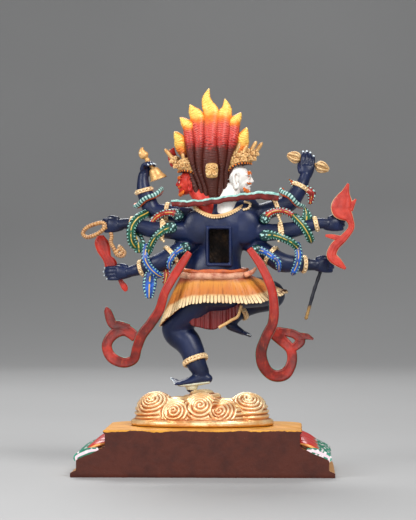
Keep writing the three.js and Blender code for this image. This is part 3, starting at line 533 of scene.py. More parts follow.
def toes(root, outward, lift, count=5):
    """Five toes at the end of a foot, the great toe first, and their nails."""
    made, nails = [], []
    for k in range(count):
        start = np.asarray(root, float) + (k - 2) * TOE_PITCH * Y_AXIS
        thick = 1.25 if k == 0 else 1.0
        reach = 4.8 - 0.6 * k
        tip = start + unit(outward) * reach + Z_AXIS * lift * (4 - k) * 0.25
        middle = (start + tip) / 2 + Z_AXIS * 0.5
        made.append(tube(smooth([[*start, thick], [*middle, thick * 0.85], [*tip, thick * 0.95]], 8), 12))
        nail_at = tip + unit(outward) * 0.5 + Z_AXIS * thick * 0.62
        nails.append(ball(nail_at, (0.75, 0.7 * thick, 0.35), 10, 6))
    return made, nails


def body():
    shapes = [tube(smooth(TORSO, 30), 40, side=X_AXIS), ball(BELLY["at"], BELLY["radii"])]
    shapes += [ball(at, radii) for at, radii in SHOULDER_BLADES]
    shapes += [tube(smooth(arm, 24), 20) for arm in ARMS.values()]
    shapes += [tube(smooth(leg, 40), 28) for leg in (STANDING_LEG, RAISED_LEG)]
    shapes += [tube(smooth(foot, 14), 20) for foot in (STANDING_FOOT, RAISED_FOOT)]
    shapes += [tube(STUB, 16)]
    standing, standing_nails = toes((14, -1, 49.2), (1, 0, -0.05), 2.4)
    raised, raised_nails = toes((-21, -13, 77.6), (-0.8, -0.2, -0.5), 0.4)
    made = fused("body", shapes + standing + raised, 0.6, 5)
    points = mesh_points(made)
    near = np.exp(-((points[:, 0] - SPINE_X) / 2.2) ** 2) * (points[:, 1] > 4)
    upper = np.clip((points[:, 2] - 138) / 4, 0, 1) * np.clip((150 - points[:, 2]) / 4, 0, 1)
    points[:, 1] -= SPINE_DENT * near * upper
    set_points(made, points)
    window = WINDOW
    cut_out(made, box_shape(window["x"], window["z"], window["width"], window["height"],
                            window["floor"], 30, 0.6, 4))
    thinned(made, BODY_SHARE)
    dress(made, skin_paint(), "blue_skin", "figure")
    return standing_nails + raised_nails


# Each hand: the middle of the palm, its half length, thickness and width, the way the
# fingers leave it, the way they lie side by side, the way they curl, how long they are, and
# how far each finger joint bends in degrees.
HANDS = {
    "upper_left": {"palm": (34.2, -4.5, 167.6), "radii": (3.4, 2.2, 3.4), "out": (-0.1, 0.1, 1),
                   "spread": (0.5, 0.86, 0), "curl": (-0.86, 0.5, 0), "length": 7.4,
                   "bends": (15, 55, 55)},
    "upper_right": {"palm": (-57, -4.5, 168.5), "radii": (3.4, 2.2, 4.2), "out": (-0.1, 0, 1),
                    "spread": (-1, 0, -0.2), "curl": (0, -1, 0.1), "length": 10, "bends": (8, 22, 25)},
    "middle_left": {"palm": (50, 6, 138), "radii": (4.2, 2.5, 4.2), "out": (1, 0, 0),
                    "spread": (0, 0, -1), "curl": (0.1, -1, 0), "length": 7.6, "bends": (20, 50, 45)},
    "middle_right": {"palm": (-71, 6, 138.5), "radii": (4.2, 2.5, 4.2), "out": (-1, 0, 0.1),
                     "spread": (0, 0, -1), "curl": (-0.1, -1, 0), "length": 7.6, "bends": (20, 50, 45)},
    "lower_left": {"palm": (45.5, 1, 111.5), "radii": (4.4, 2.3, 3.9), "out": (1, 0, -0.05),
                   "spread": (0, 0, -1), "curl": (0.1, -1, 0), "length": 9.4, "bends": (6, 22, 24)},
    "lower_right": {"palm": (-64.5, 1, 115.8), "radii": (4.4, 2.4, 4.2), "out": (-1, 0, -0.05),
                    "spread": (0, 0, -1), "curl": (-0.1, -1, 0), "length": 7.8, "bends": (16, 46, 40)},
}
FINGER_PITCH = 2.05
FINGER_LENGTHS = (0.93, 1, 0.95, 0.78)
PHALANGES = (0.44, 0.31, 0.25)
FINGER_RADII = (1.2, 1.12, 1.02, 0.85)


def sole():
    """The pale underside of the standing foot and the top of its stub."""
    under = [[-2.4, -1, 50.2, 2.4, 0.8], [2, -1, 49.6, 3.3, 1.1], [7.5, -1, 48.9, 4, 1.5],
             [12, -1, 48.5, 4.4, 0.8], [15, -1, 48.3, 4.2, 0.4]]
    stub_top = [[7.5, -1, 48.6, 3.4, 3.9], [7.5, -1, 47, 3, 3.4]]
    shapes = [tube(smooth(under, 30), 24), tube(smooth(stub_top, 6), 24)]
    cream = plain_paint("sole_cream", srgb(198, 196, 172), srgb(90, 140, 128))
    dress(mesh_object("sole", joined(shapes)), cream, "nail_white", "figure")


def turned_ball(at, axes, radii, wide=10, high=6):
    """An ellipsoid whose half sizes lie along the three given directions."""
    frame_axes = np.array([unit(axis) for axis in axes])
    return ball((0, 0, 0), radii, wide, high).moved(lambda p: p @ frame_axes + np.asarray(at, float))


def hand(palm, radii, out, spread, curl, length, bends):
    """A palm, four fingers that curl and a thumb, with their nails."""
    palm, out, spread, curl = np.asarray(palm, float), unit(out), unit(spread), unit(curl)
    heel, knuckles = palm - out * radii[0] * 0.9, palm + out * radii[0] * 0.75
    shapes = [tube(smooth([[*heel, radii[1], radii[2] * 0.72], [*palm, radii[1] * 1.1, radii[2] * 0.95],
                           [*knuckles, radii[1] * 0.85, radii[2]]], 9), 24, side=curl)]
    nails = []
    for k, share in enumerate(FINGER_LENGTHS):
        at = knuckles + spread * (k - 1.5) * FINGER_PITCH - out * 0.8
        stations, angle = [[*at, FINGER_RADII[0]]], 0
        for bend, phalanx, thick in zip(bends, PHALANGES, FINGER_RADII[1:]):
            angle += math.radians(bend)
            way = out * math.cos(angle) + curl * math.sin(angle)
            at = at + way * phalanx * length * share
            stations.append([*at, thick])
        shapes.append(tube(smooth(stations, 14), 12, side=spread))
        back = out * math.sin(angle) - curl * math.cos(angle)
        nails.append(turned_ball(at + back * 0.72, (spread, way, back), (0.62, 0.85, 0.34)))
    root = palm - out * radii[0] * 0.3 - spread * radii[2] * 0.75
    bend = root + out * 3 - spread * 1.2 + curl * 1.8
    tip = bend + out * 2.6 + curl * 2.2 + spread * 0.8
    shapes.append(tube(smooth([[*root, 1.7], [*bend, 1.35], [*tip, 1.05]], 12), 12, side=curl))
    return shapes, nails


def hands():
    shapes, nails = [], []
    for values in HANDS.values():
        made, tips = hand(**values)
        shapes += made
        nails += tips
    dress(thinned(fused("hands", shapes, 0.36, 3), HAND_SHARE), skin_paint(), "blue_skin", "figure")
    return nails


def window():
    """The raised surround of the opening, and the ground inside it: a brown of its own painted near black as
    the shade deep in the opening.
    """
    x, z = WINDOW["x"], WINDOW["z"]
    inner, outer = (WINDOW["width"], WINDOW["height"]), (FRAME_WIDTH, FRAME_HEIGHT)

    def ring(size, grow, y, corner):
        turn = np.concatenate([np.linspace(0, 90, 6) + 90 * k for k in range(4)])
        half = np.array(size) / 2 + grow - corner
        sx = np.repeat([1, -1, -1, 1], 6)
        sz = np.repeat([1, 1, -1, -1], 6)
        return np.column_stack([x + sx * half[0] + corner * np.cos(np.radians(turn)),
                                np.full(len(turn), y), z + sz * half[1] + corner * np.sin(np.radians(turn))])

    rings = [ring(outer, 0.7, FRAME_BACK - 3.4, 1.2), ring(outer, 0.2, FRAME_BACK - 1.4, 1.2),
             ring(outer, 0, FRAME_BACK - 0.4, 1), ring(outer, -0.45, FRAME_BACK, 0.8),
             ring(inner, 0.5, FRAME_BACK - 0.1, 0.7), ring(inner, 0.1, FRAME_BACK - 0.5, 0.6),
             ring(inner, 0, FRAME_BACK - 1.2, 0.6), ring(inner, 0, WINDOW["floor"] + 0.2, 0.6),
             ring(inner, 0.5, WINDOW["floor"] + 0.1, 0.6)]
    surround = mesh_object("window_surround", skin(np.array(rings[::-1]), loop=True))
    dress(surround, skin_paint(), "blue_skin", "figure", sharp=50)
    steps = 32
    across = np.linspace(-0.52, 0.52, steps) * inner[0]
    up = np.linspace(-0.52, 0.52, steps) * inner[1]
    gx, gz = np.meshgrid(x + across, z + up)
    rough = 0.5 * np.sin(gx * 2.1 + 1.3 * np.sin(gz * 0.9)) * np.sin(gz * 1.7 + np.cos(gx * 1.1))
    front = np.stack([gx, WINDOW["floor"] + 0.9 + rough * 0.7, gz], -1).reshape(-1, 3)
    back = front.copy()
    back[:, 1] = WINDOW["floor"] - 0.6
    index = np.arange(steps * steps).reshape(steps, steps)
    a, b, c, d = index[:-1, :-1], index[:-1, 1:], index[1:, 1:], index[1:, :-1]
    top = np.stack([a, d, c, b], -1).reshape(-1, 4)
    under = np.stack([a, b, c, d], -1).reshape(-1, 4) + steps * steps
    rim = np.concatenate([index[0, :-1], index[:-1, -1], index[-1, :0:-1], index[:0:-1, 0]])
    after = np.roll(rim, -1)
    sides = np.stack([rim, after, after + steps * steps, rim + steps * steps], -1)
    ground = mesh_object("window_ground", Shape(np.concatenate([front, back]), [*top, *under, *sides]))
    dress(ground, opening_shade_paint(), "rod_dark", "figure")


def opening_shade_paint():
    paint = Paint("opening_shade", roughness=0.7)
    blotch = paint.noise(260, 5)
    # Near black mottled with brown: painted shade deep in the opening, over its own brown.
    colour = paint.ramp(blotch, [(0.35, srgb(14, 9, 6)), (0.55, srgb(38, 24, 14)), (0.7, srgb(74, 52, 28))])
    paint.colour(colour)
    paint.relief(paint.noise(700, 4), 0.4)
    return paint.material


# Heads.

# Each head's middle, size and turn, the crown's rim round its brow, and the crown's leaves
# as root, tip and half width.
HEADS = {
    "middle": {"at": (-6, -10, 163), "size": 8.4, "turn": 0,
               "rim": [(-6, -18.4, 170.4), (0, -15.6, 170.8), (2, -9.6, 171),
                       (-1, -3.6, 171.2), (-6, -1.6, 171.4),
                       (-11, -3.6, 171.2), (-14, -9.6, 171), (-12, -15.6, 170.8)],
               "leaves": [((-12.6, -13, 172), (-15, -15, 180), 2.2),
                          ((-9.8, -16.6, 172), (-11, -19, 182), 2.3),
                          ((-6, -17.6, 172), (-6, -20, 184), 2.6),
                          ((-2.2, -16.6, 172), (-1, -19, 182), 2.3),
                          ((0.6, -13, 172), (3, -15, 180), 2.2)]},
    "red": {"at": (8.2, -2, 161.6), "size": 6.9, "turn": 82,
            "rim": [(14.6, 0, 169.2), (12, 4.6, 169.8), (8.4, 6.2, 169.2), (4.6, 4.6, 167.6), (3, -2, 168),
                    (5.4, -6, 168.6), (9.6, -7.6, 169.2), (13.2, -5, 169.4)],
            "leaves": [((14, 2.4, 170.6), (22.4, 2.4, 180.6), 2.4),
                       ((10.4, 6.4, 170.8), (12.4, 6.8, 178.4), 2.8),
                       ((6.6, 6.6, 169.6), (5.6, 8.4, 175.8), 2.6),
                       ((14, -3.2, 170.8), (20, -4.6, 180.6), 2.2),
                       ((10, -6.6, 170.8), (12.4, -7.6, 179), 2.4)]},
    "white": {"at": (-18, 0, 163.6), "size": 7.7, "turn": -84,
              "rim": [(-25.6, 0, 173.6), (-23.4, 4.8, 173.9), (-19.4, 6.6, 173.6),
                      (-15.2, 6.4, 171.6), (-12.8, 4, 168.2),
                      (-12.4, -2.4, 168.6), (-15, -5.4, 171), (-19.4, -6.2, 173), (-23.4, -4.4, 173.8)],
              "leaves": [((-15.6, 7, 172.8), (-19.8, 7.2, 184.4), 2.6),
                         ((-19.8, 6.4, 174.4), (-23.6, 6.4, 182.6), 2.9),
                         ((-23.2, 3.6, 174.8), (-28.9, 3.4, 184.8), 2.5),
                         ((-25.4, -1, 174.6), (-32, -2.4, 184.4), 2.2),
                         ((-20, -5.4, 174.4), (-23.6, -7, 183.6), 2.4),
                         ((-15.8, -4.8, 172.8), (-18.6, -6, 182.4), 2.3)]},
}
NECKS = {
    "middle": [[-6.5, -8, 158, 5.6], [-7, -4, 150, 6], [-8, -1, 145, 7]],
    "red": [[4.6, 0, 158, 5], [-0.6, 2.4, 150.6, 5.6], [-1.5, 1.6, 144.5, 6]],
    "white": [[-14.6, 0.6, 159, 5.6], [-12.6, 2.6, 150.6, 6.8], [-12, 1.6, 144, 7.4]],
}


def head_shapes():
    """A head that faces -Y, its skull about one unit in radius: a scowling guardian's."""
    shapes = [
        ball((0, 0.05, 0.2), (0.86, 0.95, 0.92)),
        ball((0, -0.28, -0.1), (0.7, 0.68, 0.82)),
        ball((0, -0.42, -0.52), (0.54, 0.5, 0.42)),
        ball((0, -0.8, -0.82), (0.2, 0.17, 0.15)),
        tube([[0, -0.9, 0.24, 0.1], [0, -1.02, 0.02, 0.13], [0, -1.07, -0.14, 0.17]], 12),
        tube(smooth([[-0.4, -0.74, -0.5, 0.07], [0, -0.97, -0.36, 0.1], [0.4, -0.74, -0.5, 0.07]], 9), 10),
        tube(smooth([[-0.33, -0.72, -0.6, 0.07], [0, -0.9, -0.66, 0.1], [0.33, -0.72, -0.6, 0.07]], 9), 10),
    ]
    for side in (-1, 1):
        shapes += [
            ball((side * 0.42, -0.64, -0.2), (0.24, 0.22, 0.22)),
            ball((side * 0.14, -1.0, -0.15), (0.1, 0.1, 0.09), 12, 8),
            ball((side * 0.3, -0.72, 0.08), (0.2, 0.16, 0.15)),
            tube(smooth([[side * 0.1, -0.94, 0.24, 0.1], [side * 0.34, -0.86, 0.38, 0.1],
                         [side * 0.62, -0.62, 0.36, 0.07]], 9), 10),
            tube(smooth([[side * 0.84, -0.02, 0.3, 0.1], [side * 0.95, 0.16, 0.5, 0.1],
                         [side * 0.98, 0.34, 0.24, 0.11], [side * 0.92, 0.26, -0.3, 0.11],
                         [side * 0.86, 0.1, -0.62, 0.15], [side * 0.82, 0, -0.34, 0.1]], 24), 10),
            ball((side * 0.82, 0.14, 0.06), (0.1, 0.2, 0.36), 14, 10),
        ]
    return shapes


def eye_shapes():
    """The eyeballs, the pupils and the rims, in the head's own units."""
    whites, pupils, rims = [], [], []
    for side in (-1, 1):
        whites.append(ball((side * 0.3, -0.8, 0.08), (0.15, 0.12, 0.12)))
        pupils.append(ball((side * 0.29, -0.89, 0.07), (0.065, 0.05, 0.065), 14, 8))
        turn = TURN * np.arange(20) / 20
        rim = np.column_stack([side * 0.3 + 0.17 * np.cos(turn), -0.84 + 0.1 * np.abs(np.cos(turn)),
                               0.09 + 0.12 * np.sin(turn), np.full(20, 0.035)])
        rims.append(tube(rim, 8, loop=True, side=Z_AXIS + 0.1 * X_AXIS))
    whites.append(ball((0, -0.9, 0.52), (0.09, 0.1, 0.15), 14, 10))
    pupils.append(ball((0, -0.98, 0.52), (0.045, 0.04, 0.07), 12, 8))
    return whites, pupils, rims


def bristle_shapes():
    """Flame-like eyebrows, moustache and beard."""
    shapes = []
    for side in (-1, 1):
        for k in range(4):
            x = side * (0.16 + 0.13 * k)
            shapes.append(tube(smooth([[x, -0.98 + 0.07 * k, 0.36, 0.07],
                                       [x * 1.1, -0.98 + 0.07 * k, 0.48, 0.06],
                                       [x * 1.3, -0.93 + 0.08 * k, 0.6, 0.02]], 7), 8))
            shapes.append(tube(smooth([[side * (0.1 + 0.1 * k), -1.0 + 0.06 * k, -0.31, 0.06],
                                       [side * (0.22 + 0.12 * k), -0.94 + 0.06 * k, -0.3, 0.06],
                                       [side * (0.34 + 0.13 * k), -0.86 + 0.07 * k, -0.2, 0.02]], 7), 8))
        for k in range(5):
            x = side * (0.06 + 0.12 * k)
            shapes.append(tube(smooth([[x, -0.86 + 0.1 * k, -0.8 + 0.04 * k, 0.09],
                                       [x * 1.2, -0.9 + 0.1 * k, -0.96 + 0.05 * k, 0.08],
                                       [x * 1.5, -0.8 + 0.1 * k, -1.1 + 0.06 * k, 0.02]], 7), 8))
    return shapes


def in_head(name, shapes):
    """Shapes in a head's own units, put in that head's place."""
    head = HEADS[name]
    angle = math.radians(head["turn"])
    cos, sin = math.cos(angle), math.sin(angle)
    spin = np.array([[cos, sin, 0], [-sin, cos, 0], [0, 0, 1]])
    return [shape.moved(lambda p: p @ spin * head["size"] + np.array(head["at"])) for shape in shapes]


def heads():
    paints = {
        "middle": (skin_paint(), "blue_skin"),
        "red": (face_paint("red_face", srgb(178, 30, 24), srgb(84, 10, 10), srgb(212, 66, 48)), "red_skin"),
        "white": (face_paint("white_face", srgb(232, 226, 220), srgb(170, 132, 112), srgb(246, 244, 240)),
                  "white_skin"),
    }
    for name, (paint, slot) in paints.items():
        neck = tube(smooth(NECKS[name], 10), 24)
        made = fused(f"{name}_head", in_head(name, head_shapes()) + [neck], 0.32, 2)
        dress(thinned(made, HEAD_SHARE), paint, slot, "figure")
    parts = [[], [], [], []]
    for name in HEADS:
        for part, shapes in zip(parts, (*eye_shapes(), bristle_shapes())):
            part += in_head(name, shapes)
    whites, pupils, rims, bristles = parts
    for name, shapes, colour, slot in (
            ("eyes", whites, srgb(236, 226, 205), "nail_white"),
            ("pupils", pupils, srgb(24, 16, 14), "rod_dark"),
            ("eye_rims", rims, srgb(176, 40, 26), "red_scarf")):
        dress(mesh_object(name, joined(shapes)), plain_paint(f"{name}_paint", colour), slot, "figure")
    dress(mesh_object("bristles", joined(bristles)),
          plain_paint("bristle_orange", srgb(222, 108, 28), srgb(120, 44, 14)), "hair", "figure")


def plain_paint(name, base, shade=None, coat=0.2):
    """One paint, a little uneven, darker in its grooves."""
    paint = Paint(name, coat=coat)
    dark = shade or [value * 0.45 for value in base[:3]] + [1]
    colour = paint.mix(paint.range(paint.noise(300, 3), 0.35, 0.75), base, [*(0.8 * v for v in base[:3]), 1])
    colour = paint.mix(paint.range(paint.crest(), 0.49, 0.43), colour, dark)
    paint.colour(colour)
    paint.roughness(paint.noise(260, 3), 0.35, 0.55)
    paint.relief(paint.noise(700, 3), 0.08)
    return paint.material


def scroll(middle, right, up, radius, turns, thick, way=1, steps=30):
    """A wire that winds inward, flat in the plane of two directions."""
    t = np.linspace(0, 1, steps)
    turn = way * t * turns * TURN
    reach = radius * (1 - 0.8 * t)
    at = (np.asarray(middle, float) + np.outer(reach * np.cos(turn), unit(right))
          + np.outer(reach * np.sin(turn), unit(up)))
    rows = np.column_stack([at, thick * (1 - 0.45 * t)])
    return tube(rows, 10, side=np.cross(unit(right), unit(up)))


def crown_leaf(root, tip, across, half):
    """A leaf with scrolls on both faces, ending in a smooth round-tipped prong."""
    root, tip = np.asarray(root, float), np.asarray(tip, float)
    up = unit(tip - root)
    length = np.linalg.norm(tip - root)
    across = unit(across - up * np.dot(across, up))
    face = np.cross(across, up)
    profile = [(-0.05, 0.7), (0.15, 0.95), (0.35, 0.9), (0.55, 0.6), (0.68, 0.3)]
    stations = [[*(root + up * length * share), 0.75, half * wide] for share, wide in profile]
    shapes = [tube(smooth(stations, 16), 20, side=face)]
    prong = [(0.42, 0.9, 0.9), (0.6, 1.25, 1.15), (0.78, 1.3, 1.2), (0.92, 1.05, 1.0), (1, 0.5, 0.5)]
    rows = [[*(root + up * length * share), thick, wide] for share, thick, wide in prong]
    shapes.append(tube(smooth(rows, 14), 16, side=face))
    for front in (-1, 1):
        out = face * front * 0.8
        for side in (-1, 1):
            for share, size, away in ((0.12, 0.56, 0.62), (0.4, 0.44, 0.62)):
                middle = root + up * length * share + across * side * half * away + out
                shapes.append(scroll(middle, across * side, up, half * size, 1.5, 0.5))
        shapes.append(ball(root + up * length * 0.27 + out * 1.1, (0.75, 0.75, 0.75), 12, 8))
        shapes.append(ball(root + up * length * 0.5 + out * 1.2, (0.6, 0.6, 0.6), 12, 8))
    return shapes


def crowns():
    shapes, beads, bands = [], [], []
    for head in HEADS.values():
        rim = smooth(head["rim"], 120, loop=True)
        shapes.append(tube(np.column_stack([rim, np.full(120, 1.0), np.full(120, 0.9)]), 12, loop=True))
        shapes.append(tube(np.column_stack([rim + Z_AXIS * 1.5, np.full(120, 0.8)]), 12, loop=True))
        reach = np.concatenate([[0], np.cumsum(np.linalg.norm(np.diff(rim, axis=0), axis=1))])
        middle = rim.mean(0)
        for stop in np.arange(0, reach[-1], 1.7):
            at = np.array([np.interp(stop, reach, rim[:, k]) for k in range(3)])
            out = unit((at - middle) * (1, 1, 0))
            beads.append(ball(at - Z_AXIS * 1.25 + out * 0.35, (0.58, 0.58, 0.58), 10, 7))
        under = np.column_stack([rim - Z_AXIS * 1.2, np.full(120, 0.7), np.full(120, 0.8)])
        bands.append(tube(under, 10, loop=True))
        for root, leaf, half in head["leaves"]:
            outward = unit(np.subtract(leaf, root))
            flat = np.cross(outward, Y_AXIS) if head["turn"] else X_AXIS
            shapes += crown_leaf(root, leaf, flat, half)
    gold = gold_paint("crown_gold", srgb(222, 180, 122), srgb(120, 58, 26), 0.5, 0.44)
    dress(thinned(fused("crowns", shapes, 0.27, 1), CROWN_SHARE), gold, "gold_trim", "figure")
    brown = plain_paint("band_brown", srgb(74, 26, 18))
    dress(mesh_object("crown_bands", joined(bands)), brown, "hair", "figure")
    orange = plain_paint("bead_orange", srgb(232, 128, 34))
    dress(mesh_object("crown_beads", joined(beads)), orange, "hair", "figure")
    flame = smooth([[17.2, -1, 172, 1.8, 2.4], [18.2, -1.4, 176, 1.8, 2.6], [18.4, -1.6, 179, 1.2, 1.9],
                    [17.6, -1.6, 181.4, 0.4, 0.5]], 20)
    red = plain_paint("tuft_red", srgb(176, 40, 34))
    dress(mesh_object("red_tuft", tube(flame, 16)), red, "red_cloth", "figure")


# Hair: a dark core, and locks that part at grooves and end in flames. The core's rows are
# x, y, z, half width and half depth.
HAIR = [[-3.9, 1, 153, 6.2, 6], [-4, 1, 160, 8.4, 8], [-4.5, 0.5, 168, 10.6, 10.5],
        [-5, 0, 175, 14, 12.5], [-5.6, 0, 181, 17, 13], [-5.6, 0, 186, 17, 11.6],
        [-5.5, 0, 191, 14.4, 9.6], [-5.6, 0, 196, 10, 6.4]]

# Where the grooves between the locks run: a height, then each groove's x from the figure's
# left to its right. The first and last are the outline. A flame's own rows take over where
# its lock's two grooves have met their notches.
GROOVES = [
    (153, (4.2, 1.4, -0.2, -2.5, -6.9, -9.2, -10.6, -12.6)),
    (160, (6.4, 3.0, 0.9, -1.4, -7.2, -10.2, -12.2, -14.2)),
    (168, (8.6, 6.0, 3.6, 0.6, -7.8, -10.4, -12.6, -15.2)),
    (176, (12.4, 8.8, 4.9, 0.7, -7.4, -11.9, -14.7, -18.4)),
    (184, (15.8, 10.4, 5.3, 0.0, -6.8, -12.7, -17.8, -23.8)),
    (190, (16.6, 11.2, 6.2, 0.1, -7.0, -13.5, -18.6, -24.2)),
]
HAIR_DEPTH = [(153, 6), (160, 8), (168, 10.2), (176, 11.6), (184, 11.4), (190, 9), (196, 5.8), (201, 3.6),
              (206, 1.9), (215, 0.4)]

# Flames that the locks end in: x, z and half width from the notch to the tip.
FLAMES = [
    [(12.9, 181.5, 3.5), (13.9, 185.6, 3.2), (15.5, 188.2, 1.9), (16.8, 190, 0.3)],
    [(9, 193, 3.3), (11.6, 196, 2.3), (13.8, 198.2, 0.3)],
    [(4.2, 198, 4.2), (6.6, 202.2, 2.8), (8.3, 205.6, 0.3)],
    [(-3.6, 200.5, 4.6), (-1.6, 205.6, 3.4), (-0.9, 209.6, 2.3), (-2.3, 214.6, 0.35)],
    [(-11.2, 199.5, 4), (-12.1, 203.8, 2.7), (-11.2, 208.7, 0.35)],
    [(-16.6, 195.4, 3.2), (-18.7, 198.6, 2.0), (-20.2, 201, 0.3)],
    [(-20.5, 182.5, 3.5), (-21.3, 186.6, 3.3), (-22.6, 189.9, 1.9), (-23.6, 192.4, 0.3)],
]
LOCK_THICK = 3.3
STRAND_PITCH = 1.15
STRAND_DEPTH = 0.2


def wander(values, seed, octaves=3):
    """A slow, repeatable wobble between about -1 and 1."""
    total = np.zeros(np.shape(values))
    for k in range(octaves):
        total += np.sin(np.asarray(values) * (1.7 ** k) + seed * (k + 1.3)) / (k + 1)
    return total / 1.5


def lock(k, side, rows_count, sides):
    """One lock of hair on the back (side 1) or front (-1) of the head, with its flame."""
    flame = FLAMES[k]
    outline = [(xs[0] + xs[-1]) / 2 for _, xs in GROOVES]
    stations = []
    for (z, xs), middle in zip(GROOVES, outline):
        if z > flame[0][1] - 3:
            continue
        x, half = (xs[k] + xs[k + 1]) / 2, (xs[k] - xs[k + 1]) / 2
        stations.append((x, z, half * 1.1 + 0.25, (x - middle) / (xs[0] - middle)))
    last = stations[-1][3]
    stations += [(x, z, half, last * (1 - 0.7 * j / len(flame))) for j, (x, z, half) in enumerate(flame)]
    rows = []
    for x, z, half, off in stations:
        depth = np.interp(z, *zip(*HAIR_DEPTH))
        thick = min(LOCK_THICK, 0.34 * depth + 1.0, half * 1.3 + 0.2)
        y = side * max((depth - thick * 0.6) * math.sqrt(max(1 - off ** 2, 0.04)), 0.25 * thick)
        rows.append([x, y, z, thick, half])
    rows = smooth(rows, rows_count)
    out = unit([0.35 * (rows[len(rows) // 2, 0] + 5), side * 10, 0])
    shape = tube(rows, sides, side=out, blunt=0.4)
    at = shape.points
    rise = (at[:, 2] - flame[0][1]) / (flame[-1][1] - flame[0][1])
    across, along = shape.tags["across"], shape.tags["along"]
    phase = (along / STRAND_PITCH + 0.5 * wander(across * 2.2 + along * 0.3, k * 1.9)
             + 0.35 * wander(at[:, 0] * 1.7 + at[:, 2] * 0.8, k + 3))
    strand = np.sin(TURN * phase)
    patchy = 0.7 + 0.3 * wander(at[:, 0] * 1.1 - at[:, 2] * 0.9, k + 7)
    count = len(at) // sides
    middle = at.reshape(count, sides, 3).mean(1).repeat(sides, 0)
    relief = STRAND_DEPTH * strand * patchy * np.clip(1.25 - rise * 0.9, 0.2, 1)
    shape.points = at + unit(at - middle + 1e-9) * relief[:, None]
    shape.tags["strand"] = strand * patchy
    shape.tags["rise"] = rise
    return shape


def hair():
    core = tube(smooth([[x, y, z, deep - 2.4, wide - 2.4] for x, y, z, wide, deep in HAIR], 40), 40)
    # The core shows only between the locks; a strand tag of -1 paints it in the darkest groove colour, as
    # painted shade.
    core.tags["strand"] = np.full(len(core.points), -1.0)
    core.tags["rise"] = np.full(len(core.points), -1.0)
    shapes = [core]
    for k in range(len(FLAMES)):
        shapes.append(lock(k, 1, 240, 28))
        shapes.append(lock(k, -1, 110, 16))
    dress(mesh_object("hair", joined(shapes)), hair_paint(), "hair", "figure")


def hair_paint():
    """Dark brown below, then red, orange and yellow flames, with painted shade in the brushed grooves and
    between the locks, and a painted pale pink highlight.
    """
    paint = Paint("hair_paint", coat=0.25, coat_roughness=0.3)
    height = paint.math("ADD", paint.height(), paint.math("MULTIPLY", paint.noise(330, 3, 0.7), 0.012))
    colour = paint.ramp(paint.range(height, 0.176, 0.206), [
        (0.0, srgb(78, 32, 22)), (0.34, srgb(92, 34, 24)), (0.46, srgb(176, 40, 32)),
        (0.62, srgb(206, 56, 44)), (1.0, srgb(214, 70, 46))])
    rise = paint.math("ADD", paint.tag("rise"), paint.math("MULTIPLY", paint.noise(420, 3, 0.7), 0.5))
    colour = paint.mix(paint.range(rise, -0.3, 0.1), colour, srgb(236, 124, 34))
    colour = paint.mix(paint.range(rise, 0.1, 0.45), colour, srgb(252, 212, 104))
    colour = paint.mix(paint.range(paint.tag("rise"), 0.9, 1.0), colour, srgb(255, 230, 160))
    # Darker along the grooves between strands: painted shade.
    low = paint.range(paint.tag("strand"), 0.1, -0.8)
    dark = paint.mix(paint.range(rise, -0.1, 0.25), srgb(52, 14, 10), srgb(226, 122, 30))
    colour = paint.mix(paint.math("MULTIPLY", low, 0.75), colour, dark)
    # Pale pink on the strand crests high on the hair: a painted highlight.
    lit = paint.math("MULTIPLY", paint.range(height, 0.19, 0.197), paint.range(rise, 0.05, -0.25), clamp=True)
    lit = paint.math("MULTIPLY", lit, paint.range(paint.tag("strand"), -0.1, 0.7), clamp=True)
    colour = paint.mix(paint.math("MULTIPLY", lit, 0.3), colour, srgb(240, 176, 160))
    # Darker at each lock's edges: on the flames their orange outline, on the hair painted shade between the
    # locks.
    edge = paint.math("ABSOLUTE", paint.tag("across"))
    edge_outline_and_shade = paint.mix(paint.range(rise, -0.1, 0.2), srgb(70, 16, 10), srgb(232, 132, 34))
    colour = paint.mix(paint.math("MULTIPLY", paint.range(edge, 0.84, 0.99), 0.85), colour, edge_outline_and_shade)
    paint.colour(colour)
    paint.roughness(paint.noise(300, 3), 0.4, 0.6)
    paint.relief(paint.noise(900, 3), 0.15)
    return paint.material


# Gold worn on the body: where along a limb a band sits, and how thick its wire is.
ARM_BANDS = {
    "upper_left": [0.28, 0.77],
    "upper_right": [0.24, 0.77],
    "middle_left": [0.4, 0.83],
    "middle_right": [0.38, 0.84],
    "lower_left": [0.38, 0.8],
    "lower_right": [0.36, 0.82],
}
ANKLET = 0.85
COLLAR = [[6, 5, 149], [4.6, 7.4, 147.4], [-0.6, 9.2, 144.4], [-6, 10.2, 143.2], [-13.4, 9.4, 144.6],
          [-20.4, 6.8, 148.6], [-22, 4, 151]]


def band(at, way, radius, wire=1.05, twists=14):
    """A ring round a limb, with a twisted wire on each side of a row of beads."""
    side = unit(np.cross(way, (0.3, 0.2, 1)) if abs(way[2]) < 0.9 else np.cross(way, X_AXIS))
    other = np.cross(way, side)
    steps = 64
    turn = TURN * np.arange(steps) / steps
    shapes = []
    for offset, thick in ((-0.62 * wire, 0.6 * wire), (0.62 * wire, 0.6 * wire)):
        around = np.outer(np.cos(turn), side) + np.outer(np.sin(turn), other)
        circle_at = at + way * offset + radius * around
        rope = thick * (1 + 0.16 * np.sin(twists * 2 * turn + offset))
        shapes.append(tube(np.column_stack([circle_at, rope]), 8, loop=True, side=way))
    for k in range(twists):
        angle = TURN * (k + 0.5) / twists
        bead = at + (radius + 0.45) * (math.cos(angle) * side + math.sin(angle) * other)
        shapes.append(ball(bead, (0.62, 0.62, 0.62), 9, 6))
    return shapes


def strand_of_beads(path, radius, pitch):
    rows = smooth(path, 200)
    reach = np.concatenate([[0], np.cumsum(np.linalg.norm(np.diff(rows[:, :3], axis=0), axis=1))])
    stops = np.arange(0, reach[-1], pitch)
    at = np.column_stack([np.interp(stops, reach, rows[:, k]) for k in range(3)])
    return [ball(point, (radius, radius, radius), 10, 7) for point in at]


